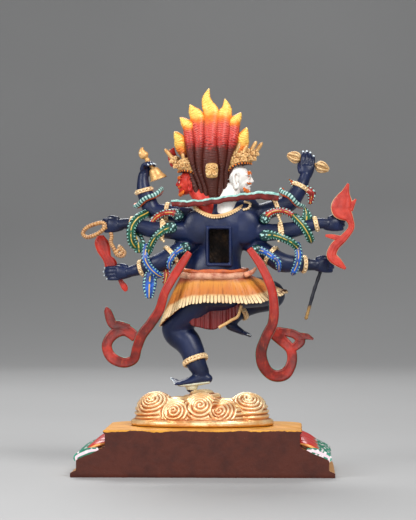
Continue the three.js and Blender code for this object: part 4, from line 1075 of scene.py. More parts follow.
def jewellery():
    shapes = []
    for name, shares in ARM_BANDS.items():
        for share in shares:
            at, way, radius = along_line(ARMS[name], share)
            shapes += band(at, way, radius + 0.35)
    for leg in (STANDING_LEG, RAISED_LEG):
        at, way, radius = along_line(leg, ANKLET)
        shapes += band(at, way, radius + 0.5, 1.3, 20)
    rope = [(*point, 0.85) for point in COLLAR]
    shapes.append(tube(smooth(rope, 40), 12))
    shapes += strand_of_beads(np.array(COLLAR) + (0, 0.5, -1.1), 0.62, 1.35)
    tassel = [[-22.5, 6, 151], [-25.5, 7.6, 150], [-24.5, 8, 147.5], [-21.6, 8, 146.6]]
    shapes += strand_of_beads(tassel, 0.8, 1.3)
    right_strand = [[-41, 9.4, 143.4], [-43, 10.8, 138], [-43.6, 11, 133], [-41, 10.6, 128.6]]
    shapes += strand_of_beads(right_strand, 0.75, 1.3)
    shapes += strand_of_beads([[23.5, 8.6, 141], [22, 9.6, 138], [25, 10, 133], [22.6, 9.4, 129]], 0.75, 1.3)
    dress(mesh_object("jewellery", joined(shapes)), gold_paint("jewel_gold"), "gold_trim", "figure")
    rows = [[-4.2, 11.6, 165, 1.4, 3.2], [-4.2, 12.2, 168.4, 1.7, 3.6], [-4.2, 12, 171.6, 1.4, 3.3]]
    plate = [tube(rows, 24)]
    for side in (-1, 1):
        plate.append(scroll((-4.2 + side * 1.6, 13.8, 170), X_AXIS * side, Z_AXIS, 1.5, 1.4, 0.45))
        plate.append(scroll((-4.2 + side * 1.6, 13.6, 166.8), X_AXIS * side, -Z_AXIS, 1.3, 1.2, 0.42))
    dress(fused("hair_clasp", plate, 0.25, 1), gold_paint("clasp_gold"), "gold_trim", "figure")


# Cloth.

# Narrow scarves that wind over the arms: paint, half width, half width of the knot where
# the path starts, and the path.
ARM_SCARVES = [
    ("red", 2.0, 3.1,
     [[13.5, 7.2, 143], [18, 5.5, 145], [23.5, 4.5, 144.5], [28, 5.5, 141.5], [30, 5.5, 137.5]]),
    ("green", 2.6, 2.6,
     [[33, 3, 144.5], [37.5, 8, 141.5], [40.5, 10, 136.5], [40.5, 9, 129.5], [38, 5, 125]]),
    ("green", 2.1, 3.2,
     [[17, 10, 137], [22, 10.5, 135.5], [27, 10, 131.5], [30, 8.5, 126.5], [31.5, 7, 121.5]]),
    ("blue", 2.2, 2.2, [[32.5, 6, 126], [33, 8, 119.5], [30.5, 8, 114.5], [27, 6.5, 111], [24.5, 3, 109.5]]),
    ("blue", 1.9, 3.0, [[9.5, 8, 126], [13.5, 8, 124.5], [17.5, 8, 121], [19.5, 7.5, 117], [19.5, 5, 113.5]]),
    ("red", 2.0, 3.1,
     [[-33, 7, 140.5], [-35.5, 6.5, 144], [-40, 4.5, 146], [-45.5, 4, 145.5], [-51, 4.5, 142]]),
    ("green", 2.4, 2.4, [[-50.5, 8.5, 142.5], [-55, 9.5, 137.5], [-58, 8.5, 132.5], [-59.5, 4.5, 128.5]]),
    ("green", 2.2, 3.2,
     [[-32.5, 10, 132], [-37.5, 10, 132.5], [-43, 10, 131], [-49, 9, 128], [-52.5, 7.5, 124.5]]),
    ("blue", 2.2, 2.2, [[-51.5, 7, 127], [-52.5, 8, 121.5], [-51.5, 8, 116], [-49, 5, 110.5]]),
    ("blue", 2.0, 3.0,
     [[-28, 8, 124.5], [-32.5, 7.5, 123.5], [-37, 8, 121], [-41, 8.5, 117.5], [-41.5, 5.5, 112.5]]),
]
SCARF_DEPTH = 2.0
DASH_PITCH = 1.7

# Loose flaps that hang from the scarves: paint, then x, y, z, half width, half thickness.
FLAPS = [
    ("green", [[38.5, 4, 133, 3, 2], [37, 5.5, 127.5, 4, 1.8], [36.5, 6, 123.5, 2.6, 1.2]]),
    ("blue", [[30, 4, 113, 3, 2], [30.8, 4.5, 105, 4, 1.7], [31, 4.5, 98, 2.4, 1.2]]),
    ("red", [[22.5, 3, 115, 2.2, 1.6], [21.3, 4, 110, 2.6, 1.6], [22.5, 4.5, 105.5, 1.2, 1]]),
    ("green", [[-56, 5, 138, 3.6, 2], [-57, 5, 143, 3, 1.6], [-56, 5, 147.5, 0.8, 0.8]]),
    ("red", [[-52.5, -3, 157, 3, 2], [-50, -5, 161, 2, 1.6], [-47.5, -6, 163.6, 0.7, 0.7]]),
    ("red", [[-55, -3, 159, 2.4, 2], [-59.5, -3, 156, 2.6, 1.7], [-59, -3, 150.5, 1.4, 1]]),
]

# Flared cuffs round two forearms: the middle, the way through, the radius.
CUFFS = [((31.6, -3, 153.4), (0.515, 0, 0.857), 9.4), ((-48.6, -3, 153), (-0.62, 0, 0.784), 8.4)]

SCARF_COLOURS = {
    "red": (srgb(176, 38, 24), srgb(96, 16, 12), "red_scarf"),
    "green": (srgb(6, 92, 62), srgb(4, 40, 32), "green_scarf"),
    "blue": (srgb(34, 96, 196), srgb(10, 30, 70), "blue_scarf"),
}


def scarf_paint(name, base, dark):
    """A painted scarf: pale dashes on its edges and a gold line down its middle."""
    paint = Paint(f"{name}_scarf_paint", coat=0.35, coat_roughness=0.25)
    colour = paint.mix(paint.range(paint.noise(260, 3), 0.35, 0.7), base, dark)
    side = paint.math("ABSOLUTE", paint.tag("across"))
    edge = paint.math("MULTIPLY", paint.range(side, 0.55, 0.68), paint.range(side, 0.98, 0.9), clamp=True)
    colour = paint.mix(paint.math("MULTIPLY", edge, 0.75), colour, srgb(12, 30, 34))
    dash = paint.math("MULTIPLY", edge, paint.range(paint.tag("dash"), 0.05, 0.4), clamp=True)
    colour = paint.mix(dash, colour, srgb(150, 204, 196))
    line = paint.math("MULTIPLY", paint.range(side, 0.14, 0.07), paint.range(paint.tag("facing"), 0, 0.2))
    broken = paint.math("MULTIPLY", line, paint.range(paint.noise(420, 2), 0.4, 0.48), clamp=True)
    colour = paint.mix(broken, colour, srgb(206, 170, 70))
    head = paint.range(paint.tag("head"), 0.2, 0.5)
    dotted = paint.mix(paint.specks(620, 0.4), srgb(10, 52, 50), srgb(160, 206, 198))
    colour = paint.mix(head, colour, dotted)
    paint.colour(colour)
    paint.roughness(paint.noise(300, 3), 0.28, 0.48)
    paint.relief(paint.noise(700, 3), 0.1)
    return paint.material


def scarves():
    """The arm scarves and their flaps, one piece for each paint."""
    for name, (base, dark, slot) in SCARF_COLOURS.items():
        shapes = []
        for paint_name, half, knot, path in ARM_SCARVES:
            if paint_name != name:
                continue
            rows = np.column_stack([smooth(path, 60), np.full(60, SCARF_DEPTH), np.full(60, half)])
            share = np.linspace(0, 1, 60)
            rows[:, 4] += (knot - half) * np.exp(-(((share - 0.1) / 0.13) ** 2))
            rows[:, 3:5] *= (1 - 0.55 * np.clip((share - 0.86) / 0.14, 0, 1))[:, None]
            shape = tube(rows, 24, blunt=0.9)
            fold = 0.16 * np.cos(3 * math.pi * shape.tags["across"]) * np.clip(shape.tags["facing"], 0, 1)
            shape.points[:, 1] += fold
            shape.tags["head"] = np.clip(1.3 - shape.tags["along"] / 5, 0, 1) * (knot > half)
            shapes.append(shape)
        for paint_name, flap in FLAPS:
            if paint_name != name:
                continue
            rows = smooth([[x, y, z, thick, wide] for x, y, z, wide, thick in flap], 30)
            shape = tube(rows, 24, blunt=0.8)
            shape.points[:, 1] += 0.5 * np.cos(2.4 * math.pi * shape.tags["across"])
            shapes.append(shape)
        whole = joined(shapes)
        slant = 0.9 * whole.tags["facing"]
        loose = 0.3 * wander(whole.tags["along"] * 0.9 + whole.points[:, 0], 6)
        whole.tags["dash"] = np.sin(TURN * (whole.tags["along"] + slant + loose) / DASH_PITCH)
        dress(mesh_object(f"{name}_scarves", whole), scarf_paint(name, base, dark), slot, "figure")


def cuffs():
    """Flared cuffs with a turned, dashed edge."""
    shapes = []
    for at, way, radius in CUFFS:
        axis = unit(way)
        across = np.cross(axis, Y_AXIS)
        profile = [(0.5, -1.4), (0.72, -1.9), (0.9, -1.5), (1.0, -0.6), (1.04, 0.4), (0.99, 1.2),
                   (0.92, 1.3), (0.8, 0.7), (0.5, 0.4)]
        fine = smooth(profile, 34, loop=True)
        steps = 130
        turn = TURN * np.arange(steps) / steps
        rings = []
        for angle in turn:
            out = math.cos(angle) * across + 0.8 * math.sin(angle) * Y_AXIS
            wave = 1 + 0.035 * math.sin(5 * angle) + 0.02 * math.sin(9 * angle + 1)
            lift = 0.5 * math.sin(4 * angle + 0.6)
            rings.append([np.asarray(at) + out * radius * r * wave + axis * (h + lift * r) for r, h in fine])
        shape_of = (steps, len(fine))
        reach = np.broadcast_to(fine[:, 0], shape_of)
        dash = np.broadcast_to(np.sin(turn * radius * TURN / 1.9)[:, None], shape_of)
        shapes.append(skin(np.array(rings), loop=True, reach=reach, dash=dash))
    dress(mesh_object("cuffs", joined(shapes)), cuff_paint(), "red_scarf", "figure")


def cuff_paint():
    paint = Paint("cuff_paint", coat=0.25)
    reach = paint.tag("reach")
    colour = paint.mix(paint.range(paint.noise(260, 3), 0.4, 0.7), srgb(168, 34, 22), srgb(112, 18, 14))
    line = paint.math("MULTIPLY", paint.range(reach, 0.84, 0.87), paint.range(reach, 0.94, 0.91), clamp=True)
    colour = paint.mix(line, colour, srgb(214, 106, 44))
    rim = paint.range(reach, 0.95, 0.975)
    colour = paint.mix(rim, colour, srgb(38, 92, 88))
    dash = paint.math("MULTIPLY", rim, paint.range(paint.tag("dash"), -0.2, 0.2), clamp=True)
    colour = paint.mix(dash, colour, srgb(170, 206, 198))
    paint.colour(colour)
    paint.roughness(paint.noise(300, 3), 0.35, 0.55)
    paint.relief(paint.noise(700, 3), 0.1)
    return paint.material


# The stiff band behind the neck: x, y, z, half depth, half height.
SHOULDER_SCARF = [[17.8, 8.5, 150, 1.3, 1.8], [10.7, 10.2, 149.8, 1.4, 1.8], [2.3, 11.6, 150.2, 1.4, 1.7],
                  [-6, 12.2, 151.3, 1.4, 1.7], [-14.4, 12.2, 152.6, 1.4, 1.7], [-25.5, 11.6, 153.9, 1.5, 1.9],
                  [-33.8, 10.4, 154.3, 1.5, 2.2], [-41, 8.6, 153.2, 1.3, 2.2]]


def rounded_strap(points=36, sharpness=0.55, fold=0.0):
    """A section like a strap with soft edges."""
    turn = TURN * np.arange(points) / points
    a = np.sign(np.cos(turn)) * np.abs(np.cos(turn)) ** sharpness
    b = np.sign(np.sin(turn)) * np.abs(np.sin(turn)) ** sharpness
    return np.stack([a * (1 - fold + fold * np.cos(3 * math.pi * b)), b], 1)


def shoulder_scarf():
    rows = smooth(SHOULDER_SCARF, 150)
    reach = rows[:, 0]
    rows[:, 2] += 0.28 * wander(reach * 0.7, 3) + 0.2
    rows[:, 1] += 0.3 * wander(reach * 0.45, 1)
    rows[:, 4] *= 1.06 + 0.07 * wander(reach * 0.9, 7)
    shape = tube(rows, section=rounded_strap(40, 0.6), blunt=0.35)
    lip = np.clip(-shape.tags["across"] - 0.35, 0, 1)
    shape.tags["lip"] = lip
    shape.points[:, 1] += 0.9 * lip * np.sign(shape.tags["facing"])
    dress(mesh_object("shoulder_band", shape), shoulder_paint(), "shoulder_cloth", "shoulder_scarf")


def shoulder_paint():
    paint = Paint("shoulder_paint", coat=0.15)
    colour = paint.mix(paint.range(paint.noise(240, 4), 0.4, 0.68), srgb(116, 28, 22), srgb(74, 16, 16))
    uneven = paint.math("MULTIPLY", paint.noise(200, 2), 0.16)
    rim = paint.range(paint.math("ADD", paint.tag("lip"), uneven), 0.1, 0.2)
    pale = paint.mix(paint.range(paint.noise(500, 3), 0.45, 0.65), srgb(172, 214, 204), srgb(112, 170, 162))
    paint.colour(paint.mix(rim, colour, pale))
    paint.roughness(paint.noise(300, 3), 0.4, 0.6)
    paint.relief(paint.noise(600, 4), 0.15)
    return paint.material


# Hanging sashes: the middle line down from the arm and round the loop, x, y, z, half width.
LEFT_SASH = [[8.5, 9.4, 122.5, 1.8], [13, 11.5, 115.5, 2.4], [18, 13, 107.5, 2.6],
             [22, 13, 100, 2.6], [24.8, 12, 91, 2.7], [29.6, 11, 83.5, 3], [34.6, 10, 77, 3],
             [37.4, 9, 70, 2.8], [39.6, 8, 63.2, 2.8], [45.6, 7, 61.4, 3], [52.2, 6, 64.6, 3.1],
             [54.6, 6, 71, 3], [51, 6, 77, 3.2], [44.5, 6, 79.5, 3.4], [38.5, 7.4, 75.8, 3.2]]
LEFT_TAILS = [[[42.5, 6.2, 80.4, 2.6], [47, 6, 82, 2.6], [51.4, 6, 83, 2.8], [54, 6, 89.6, 2.2],
               [54.8, 6, 92, 0.8]]]
RIGHT_SASH = [[-25.2, 9.4, 124.5, 1.9], [-31, 11.5, 116.5, 2.4], [-35.2, 13, 108.4, 2.6],
              [-37.8, 13, 101, 2.6], [-38.8, 12.6, 92, 2.7], [-38, 12, 83.5, 3], [-34.2, 11, 75.6, 3],
              [-31.6, 10, 67, 3.2], [-33.4, 9, 59, 3.4], [-38.6, 8, 54.4, 3.4], [-45, 7, 55.4, 3.4],
              [-48.6, 6, 61.6, 3], [-48, 6, 68.6, 3], [-43, 6, 74, 3.2], [-36.5, 8, 79.5, 3.4]]
RIGHT_TAILS = [[[-37.5, 7.4, 79.4, 2.2], [-44.5, 6, 78.6, 2.4], [-50.5, 6, 77, 2.6],
                [-53.4, 6, 73.4, 2.8], [-49.6, 6, 69.6, 2.4]],
               [[-52.6, 6, 76, 2.6], [-57, 6, 76, 1.8], [-60.4, 6, 74.6, 0.7]]]
SASH_HALF_DEPTH = 1.3


def sash(name, line, tails, node):
    shapes = []
    for k, (path, count) in enumerate([(line, 180), *[(tail, 60) for tail in tails]]):
        rows = smooth(path, count)
        half = rows[:, 3] * (1 + 0.035 * wander(np.arange(count) * 0.16, k))
        rows = np.column_stack([rows[:, :3], np.full(count, SASH_HALF_DEPTH - 0.02 * k), half])
        shapes.append(tube(rows, section=rounded_strap(40, 0.5, 0.12), blunt=0.5))
    dress(mesh_object(name, joined(shapes)), sash_paint(name), "sash_red", node)


def sash_paint(name):
    """Satin red with painted highlight streaks along the cloth, painted brighter higher up, and a thin teal
    edge.
    """
    paint = Paint(f"{name}_paint", coat=0.3, coat_roughness=0.3)
    blotch = paint.noise(110, 4, 0.65)
    colour = paint.ramp(blotch, [
        (0.3, srgb(74, 16, 10)), (0.5, srgb(118, 24, 14)), (0.68, srgb(168, 38, 20))])
    # Brighter red on the upper cloth: painted light, as it falls from above.
    upper = paint.range(paint.height(), 0.085, 0.1)
    colour = paint.mix(paint.math("MULTIPLY", upper, 0.6), colour, srgb(186, 36, 22))
    # Pale orange-red streaks along the cloth: a painted highlight.
    streak = paint.range(paint.noise(420, 5, 0.7, stretch=(1, 1, 0.35)), 0.56, 0.72)
    colour = paint.mix(paint.math("MULTIPLY", streak, 0.45), colour, srgb(214, 92, 52))
    side = paint.math("ADD", paint.math("ABSOLUTE", paint.tag("across")),
                      paint.math("MULTIPLY", paint.noise(180, 2), 0.05))
    colour = paint.mix(paint.range(side, 0.965, 0.99), colour, srgb(58, 158, 140))
    paint.colour(colour)
    paint.roughness(paint.noise(300, 3), 0.3, 0.5)
    paint.relief(paint.noise(500, 4), 0.15)
    return paint.material


# The skirt's hem, seen from above, turning from the figure's left through its back.
HEM = [[25.5, -3, 82], [13.5, 9.5, 91.5], [2, 13.5, 94.5], [-14, 14.5, 94.5], [-30, 12.5, 94.5],
       [-41, 4, 98], [-46, -9, 100], [-40, -27, 99], [-22, -24, 94], [-4, -20, 91], [12, -20, 86],
       [23, -14, 81.5]]
SKIRT_TOP = [-5.5, -1.5, 111]
SKIRT_TOP_HALF = [18.6, 13.4]
STRAND_COUNT = 92
STRAND_START = 0.68


def even_loop(stations, count):
    """Points evenly spaced round a smooth closed curve."""
    fine = smooth(stations, 2400, loop=True)
    closed = np.concatenate([fine, fine[:1]])
    reach = np.concatenate([[0], np.cumsum(np.linalg.norm(np.diff(closed, axis=0), axis=1))])
    stops = np.arange(count) * reach[-1] / count
    return np.column_stack([np.interp(stops, reach, closed[:, k]) for k in range(3)])


def skirt():
    """The tiger-skin skirt: soft folds, and a fringe of strands parted by slits."""
    sides = 6 * STRAND_COUNT
    hem = even_loop(HEM, sides)
    centre, half = np.array(SKIRT_TOP), np.array(SKIRT_TOP_HALF)
    turn = np.arctan2((hem[:, 1] - centre[1]) / half[1], (hem[:, 0] - centre[0]) / half[0])
    top = np.column_stack([centre[0] + half[0] * np.cos(turn), centre[1] + half[1] * np.sin(turn),
                           np.full(sides, centre[2])])
    share = np.arange(sides) / sides
    strand = share * STRAND_COUNT
    within = np.abs(strand % 1 - 0.5) * 2
    number = np.floor(strand)
    length = 0.5 + 0.5 * np.sin(number * 2.4) * np.cos(number * 0.9 + 1)
    outward = unit(np.column_stack([np.cos(turn) * half[1], np.sin(turn) * half[0], np.zeros(sides)]))
    drops = np.concatenate([np.linspace(0, STRAND_START, 24)[:-1], np.linspace(STRAND_START, 1, 32)])
    rings, drop_tag, slit_shade_tag = [], [], []
    for drop in drops:
        swell = math.sin(drop * math.pi) * 0.06
        ring = top + (hem - top) * (drop + swell, drop + swell, drop)
        fold = 0.5 * drop * wander(share * 95, 4) + 0.25 * drop * wander(share * 210, 9)
        loose = np.clip((drop - STRAND_START - 0.05 * length) / (1 - STRAND_START), 0, 1)
        slit = np.exp(-((1 - within) / (0.1 + 0.16 * loose)) ** 2) * np.clip(loose * 5, 0, 1)
        ring = ring + outward * (fold - 1.0 * slit + 0.22 * loose)[:, None]
        notch = 1.4 * slit - 0.9 * (1 - within ** 2) * length
        ring[:, 2] += notch * np.clip(loose * 1.4 - 0.4, 0, 1) + 0.5 * loose
        rings.append(ring)
        drop_tag.append(np.full(sides, drop))
        slit_shade_tag.append(slit)
    # The inside of the skirt, tagged like a slit so that it is painted dark: painted shade.
    for drop, inward in ((0.97, 1.5), (0.8, 2.2), (0.55, 2.6)):
        swell = math.sin(drop * math.pi) * 0.06
        ring = top + (hem - top) * (drop + swell, drop + swell, drop) - outward * inward
        rings.append(ring)
        drop_tag.append(np.full(sides, 0.3))
        slit_shade_tag.append(np.ones(sides))
    shape = skin(np.array(rings)[::-1], drop=np.array(drop_tag)[::-1], slit=np.array(slit_shade_tag)[::-1])
    dress(mesh_object("skirt", shape), skirt_paint(), "tiger_skirt", "figure")


def skirt_paint():
    paint = Paint("skirt_paint", coat=0.1)
    drop = paint.math("ADD", paint.tag("drop"), paint.math("MULTIPLY", paint.noise(90, 3), 0.16))
    # Purple-brown just below the belt, painted shade under it, then ochre, then the cream fringe.
    colour = paint.ramp(drop, [
        (0.06, srgb(112, 52, 50)), (0.24, srgb(150, 74, 48)), (0.38, srgb(206, 136, 52)),
        (0.62, srgb(198, 116, 44)), (0.76, srgb(188, 110, 46)), (0.84, srgb(224, 190, 138)),
        (1.0, srgb(232, 204, 158))])
    blush = paint.range(paint.noise(45, 3), 0.52, 0.66)
    colour = paint.mix(paint.math("MULTIPLY", blush, 0.45), colour, srgb(176, 84, 52))
    fine = paint.range(paint.noise(650, 4, 0.7, stretch=(1, 1, 0.16)), 0.54, 0.7)
    colour = paint.mix(paint.math("MULTIPLY", fine, 0.5), colour, srgb(116, 56, 30))
    # Dark brown in the slits and on the inside: painted shade.
    colour = paint.mix(paint.range(paint.tag("slit"), 0.25, 0.8), colour, srgb(84, 42, 26))
    paint.colour(colour)
    paint.roughness(paint.noise(300, 3), 0.42, 0.6)
    paint.relief(paint.noise(650, 4, 0.6, stretch=(1, 1, 0.2)), 0.3)
    return paint.material


def belt():
    """Two rolls of cloth at the waist, one end turned up."""
    turn = TURN * np.arange(200) / 200
    shapes = []
    for z, half_x, half_y, deep, high, tone in (
            (113, 17.6, 13, 1.5, 1.15, 0), (110.4, 18.6, 13.8, 1.9, 1.9, 1)):
        wobble = 0.35 * np.sin(5 * turn + tone) + 0.22 * np.sin(11 * turn + 2 * tone)
        dip = -0.9 * np.sin(turn)
        x = -5.6 + (half_x + 0.3 * wobble) * np.cos(turn)
        y = -1.5 + (half_y + 0.3 * wobble) * np.sin(turn)
        height = z + dip + 0.4 * wobble
        rows = np.column_stack([x, y, height, np.full(200, deep), high + 0.25 * wobble])
        shape = loop_roll(rows)
        shape.tags["tone"] = np.full(len(shape.points), float(tone))
        shapes.append(shape)
    turned_up = [[-23, 8.6, 110.4, 1.4, 1.6], [-26.4, 8, 111.8, 1.2, 1.3], [-28.6, 7.4, 114, 0.7, 0.8]]
    end = tube(smooth(turned_up, 16), 16)
    end.tags["tone"] = np.ones(len(end.points)) * 0.7
    shapes.append(end)
    dress(mesh_object("belt", joined(shapes)), belt_paint(), "tiger_skirt", "figure")


def loop_roll(rows, sides=24):
    """A roll round a level loop: half depth points outward, half height up."""
    at = rows[:, :3]
    middle = at.mean(0)
    outward = unit((at - middle) * (1, 1, 0))
    section = circle(sides)
    rings = (at[:, None] + outward[:, None] * section[None, :, :1] * rows[:, None, 3:4]
             + Z_AXIS * section[None, :, 1:] * rows[:, None, 4:5])
    return skin(rings, loop=True)


def belt_paint():
    paint = Paint("belt_paint", coat=0.1)
    colour = paint.mix(paint.tag("tone"), srgb(218, 112, 58), srgb(222, 168, 136))
    colour = paint.mix(paint.range(paint.noise(220, 4), 0.45, 0.7), colour, srgb(166, 84, 62))
    # Dark red-brown in the grooves between the rolls: painted shade.
    colour = paint.mix(paint.range(paint.crest(), 0.49, 0.42), colour, srgb(110, 40, 30))
    paint.colour(colour)
    paint.roughness(paint.noise(300, 3), 0.4, 0.6)
    paint.relief(paint.noise(500, 4), 0.2)
    return paint.material


# The cloth that hangs between the legs: x, z down its lower edge.
UNDERCLOTH = [[9, 92], [8.3, 83], [2.7, 80.8], [-4.6, 79.6], [-9.6, 81.8], [-15.2, 85.2], [-18.6, 87.4],
              [-20.3, 93]]
UNDERCLOTH_TOP = 99
UNDERCLOTH_BACK = 4
UNDERCLOTH_DEPTH = 7


def undercloth():
    edge = smooth([[x, 0, z] for x, z in UNDERCLOTH], 160)
    rings = []
    fold = 0.55 * wander(edge[:, 0] * 0.9, 2) + 0.3 * wander(edge[:, 0] * 2.1, 5)
    for drop in np.linspace(0, 1, 28):
        z = UNDERCLOTH_TOP + (edge[:, 2] - UNDERCLOTH_TOP) * drop
        x = edge[:, 0] + (edge[:, 0] + 5) * 0.02 * (drop - 1)
        rings.append(np.column_stack([x, UNDERCLOTH_BACK - 0.5 + fold * drop - 0.6 * (1 - drop), z]))
    front = [ring - (0, UNDERCLOTH_DEPTH, 0) for ring in rings]
    loops = [np.concatenate([a, b[::-1]]) for a, b in zip(rings, front)]
    dress(mesh_object("undercloth", skin(np.array(loops))), plain_paint(
        "undercloth_red", srgb(112, 18, 16), srgb(52, 8, 8)), "red_cloth", "figure")
    path = np.column_stack([edge[84:, 0], np.full(76, UNDERCLOTH_BACK + 0.1), edge[84:, 2]])
    trim = tube(np.column_stack([path, np.full(76, 0.75), np.full(76, 0.9)]), 12)
    dress(mesh_object("undercloth_trim", trim), gold_paint("trim_gold"), "gold_trim", "figure")


# Held things, as stations of x, y, z and half sizes.
BELL = [[35.2, -4.5, 182, 0.3], [35.6, -4.5, 180.4, 1.2, 1.5], [35.2, -4.5, 178.4, 1.7, 2.4],
        [34, -4.5, 177, 1.7, 2.5], [33.2, -4.5, 175.8, 0.9, 1.1], [32.6, -4.5, 174.8, 1.3, 1.5],
        [31.6, -4.5, 173, 0.95], [30.4, -4.5, 171.6, 1.2], [29.8, -4.5, 170.6, 0.9],
        [29.3, -4.5, 169.6, 2.2, 2.5], [28.4, -4.5, 168, 3, 3.3], [27.4, -4.5, 166, 3.6, 3.9],
        [26.6, -4.5, 164.5, 4.3, 4.8], [26.4, -4.5, 164, 4.4, 5]]
VAJRA_MIDDLE = (-57.8, -7.6, 173.6)
VAJRA_ALONG = (-19, 0, -7)
NOOSE_LOOP = [[68, 6, 133.4], [66.4, 6, 136.2], [62.6, 6, 138.2], [57.4, 6, 139.4], [55.4, 6, 137.6],
              [57.8, 6, 134.6], [62, 6, 132.2], [66, 6, 131.4]]
NOOSE_TAIL = [[56.6, 6, 137.6], [53.4, 5.6, 136], [52, 6, 132], [52.4, 6, 128.6], [51, 6, 125.6],
              [48.8, 6, 121.4], [46.6, 6, 122.2], [46, 6, 124.6], [47.8, 6, 126.2]]
ROPE = 1.15
KNIFE = [[58.6, -2.6, 132.4, 0.4, 1.6], [58.4, -2.6, 129, 1.2, 3.8], [57, -2.6, 124.4, 1.3, 3.8],
         [55.2, -2.6, 119.8, 1.3, 2.6], [53.6, -2.6, 117.4, 1.3, 3.4], [52.4, -2.6, 114.8, 1.3, 3.4],
         [50, -2.6, 111.6, 1, 1.3], [47.4, -2.6, 106.6, 1, 1.3], [45.4, -2.6, 103.4, 1, 1.8],
         [44.4, -2.6, 101.2, 0.6, 0.9]]
BANNER = [[-80, 8.2, 161, 0.5, 0.7], [-78.6, 8.2, 156.6, 1, 2.2], [-77.4, 8.2, 152, 1.4, 5],
          [-76.6, 8.2, 146.6, 1.5, 6], [-80.6, 8.2, 141.4, 1.3, 2.4], [-81.6, 8.2, 136.4, 1.2, 1.8],
          [-77.6, 8.2, 131, 1.2, 2.2], [-72.6, 8.2, 126.2, 1.3, 2.6], [-70.8, 8.2, 121, 1.3, 2.8],
          [-74.4, 8.2, 117.2, 1.2, 2.4], [-78.4, 8.2, 113.8, 0.8, 0.8]]
BANNER_SPURS = [[[-76, 8.2, 130.4, 1, 1.6], [-71, 8.2, 131.6, 0.9, 1.4], [-67.4, 8.2, 132.2, 0.6, 0.7]],
                [[-80.4, 8.2, 147, 1, 2.6], [-83, 8.2, 150.6, 0.8, 1.2], [-84.2, 8.2, 152.4, 0.5, 0.5]]]
ROD = [[-66.2, -2.6, 119.6, 1], [-64.6, -2.6, 112, 1], [-61.2, -2.6, 101.8, 1], [-58, -2.6, 90.6, 0.9],
       [-56.6, -2.6, 85.8, 1]]


def bell():
    shape = tube(smooth(rows_of(BELL), 120), 40, blunt=0.05)
    dress(mesh_object("hand_bell", shape), gold_paint("bell_gold"), "emblem_gold", "bell")


def vajra():
    """A grip with a closed crown of curved prongs at each end."""
    axis = unit(VAJRA_ALONG)
    middle = np.array(VAJRA_MIDDLE)
    across, other = np.cross(axis, Y_AXIS), Y_AXIS
    half_grip = [(0, 1.5), (1.4, 1.2), (3, 0.8), (4.4, 1.1), (6.2, 0.9)]
    profile = [(-d, r) for d, r in reversed(half_grip[1:])] + half_grip
    shapes = [tube(smooth([[*(middle + axis * d), r] for d, r in profile], 50), 20)]
    for end in (-1, 1):
        spike = [(5, 1.2), (6.4, 1.7), (8.6, 1.4), (12.2, 0.4)]
        shapes.append(tube(smooth([[*(middle + axis * end * d), r] for d, r in spike], 20), 14))
        for k in range(6):
            out = math.cos(TURN * k / 6) * across + math.sin(TURN * k / 6) * other
            prong = [(4.8, 0.9, 0.75), (6.2, 2.6, 0.8), (8.4, 2.9, 0.75), (10.6, 1.9, 0.6), (12.2, 0.6, 0.4)]
            rows = [[*(middle + axis * end * d + out * r), 0.5, w] for d, r, w in prong]
            shapes.append(tube(smooth(rows, 22), 12, side=out))
    dress(mesh_object("vajra_emblem", joined(shapes)), gold_paint(
        "vajra_gold", srgb(214, 178, 122), srgb(130, 66, 30)), "emblem_gold", "vajra")


def noose():
    shapes = []
    for path, count, loop in ((NOOSE_LOOP, 110, True), (NOOSE_TAIL, 110, False)):
        rows = smooth(path, count, loop)
        thick = ROPE * (1 + 0.1 * np.sin(TURN * np.arange(count) * 0.23))
        shapes.append(tube(np.column_stack([rows, thick]), 18, loop=loop))
    turn = TURN * np.arange(40) / 40
    ring = np.column_stack([46.8 + 2.3 * np.cos(turn), np.full(40, 6), 122.6 + 2.1 * np.sin(turn),
                            np.full(40, 0.95)])
    shapes.append(tube(ring, 12, loop=True))
    dress(mesh_object("noose_emblem", joined(shapes)), gold_paint(
        "noose_brown", srgb(140, 88, 56), srgb(60, 30, 18), 0.5, 0.45), "rope_brown", "noose")


def knife():
    shape = tube(smooth(KNIFE, 110), section=rounded_strap(36, 0.8, 0.1), blunt=0.3)
    paint = blade_paint("knife_paint", srgb(190, 44, 28), srgb(222, 96, 50))
    dress(mesh_object("knife_emblem", shape), paint, "knife_red", "knife")


def banner():
    shapes = [tube(smooth(path, count), section=rounded_strap(36, 0.8, 0.1), blunt=0.3)
              for path, count in ((BANNER, 130), (BANNER_SPURS[0], 30), (BANNER_SPURS[1], 30))]
    paint = blade_paint("banner_paint", srgb(196, 60, 44), srgb(230, 186, 140))
    dress(mesh_object("banner_emblem", joined(shapes)), paint, "banner_red", "flame_banner")


def blade_paint(name, base, edge_colour):
    paint = Paint(name, coat=0.25)
    colour = paint.mix(paint.range(paint.noise(160, 4), 0.38, 0.7), base, srgb(150, 28, 20))
    side = paint.math("ADD", paint.math("ABSOLUTE", paint.tag("across")),
                      paint.math("MULTIPLY", paint.noise(260, 2), 0.08))
    colour = paint.mix(paint.range(side, 0.95, 1.0), colour, edge_colour)
    paint.colour(colour)
    paint.roughness(paint.noise(300, 3), 0.35, 0.55)
    paint.relief(paint.noise(400, 4), 0.2)
    return paint.material


def rod():
    rows = smooth(ROD, 60)
    rows[:, 3] *= 1 + 0.08 * np.cos(np.arange(60) * 0.9)
    paint = Paint("rod_paint", coat=0.2)
    gold = paint.mix(paint.noise(500, 3), srgb(190, 150, 86), srgb(96, 62, 36))
    colour = paint.mix(paint.range(paint.height(), 0.0935, 0.0915), srgb(26, 28, 40), gold)
    paint.colour(colour)
    paint.roughness(paint.noise(300, 3), 0.4, 0.6)
    paint.relief(paint.noise(700, 3), 0.1)
    dress(mesh_object("rod_emblem", tube(rows, 18)), paint.material, "rod_dark", "rod")


# The cloud base.

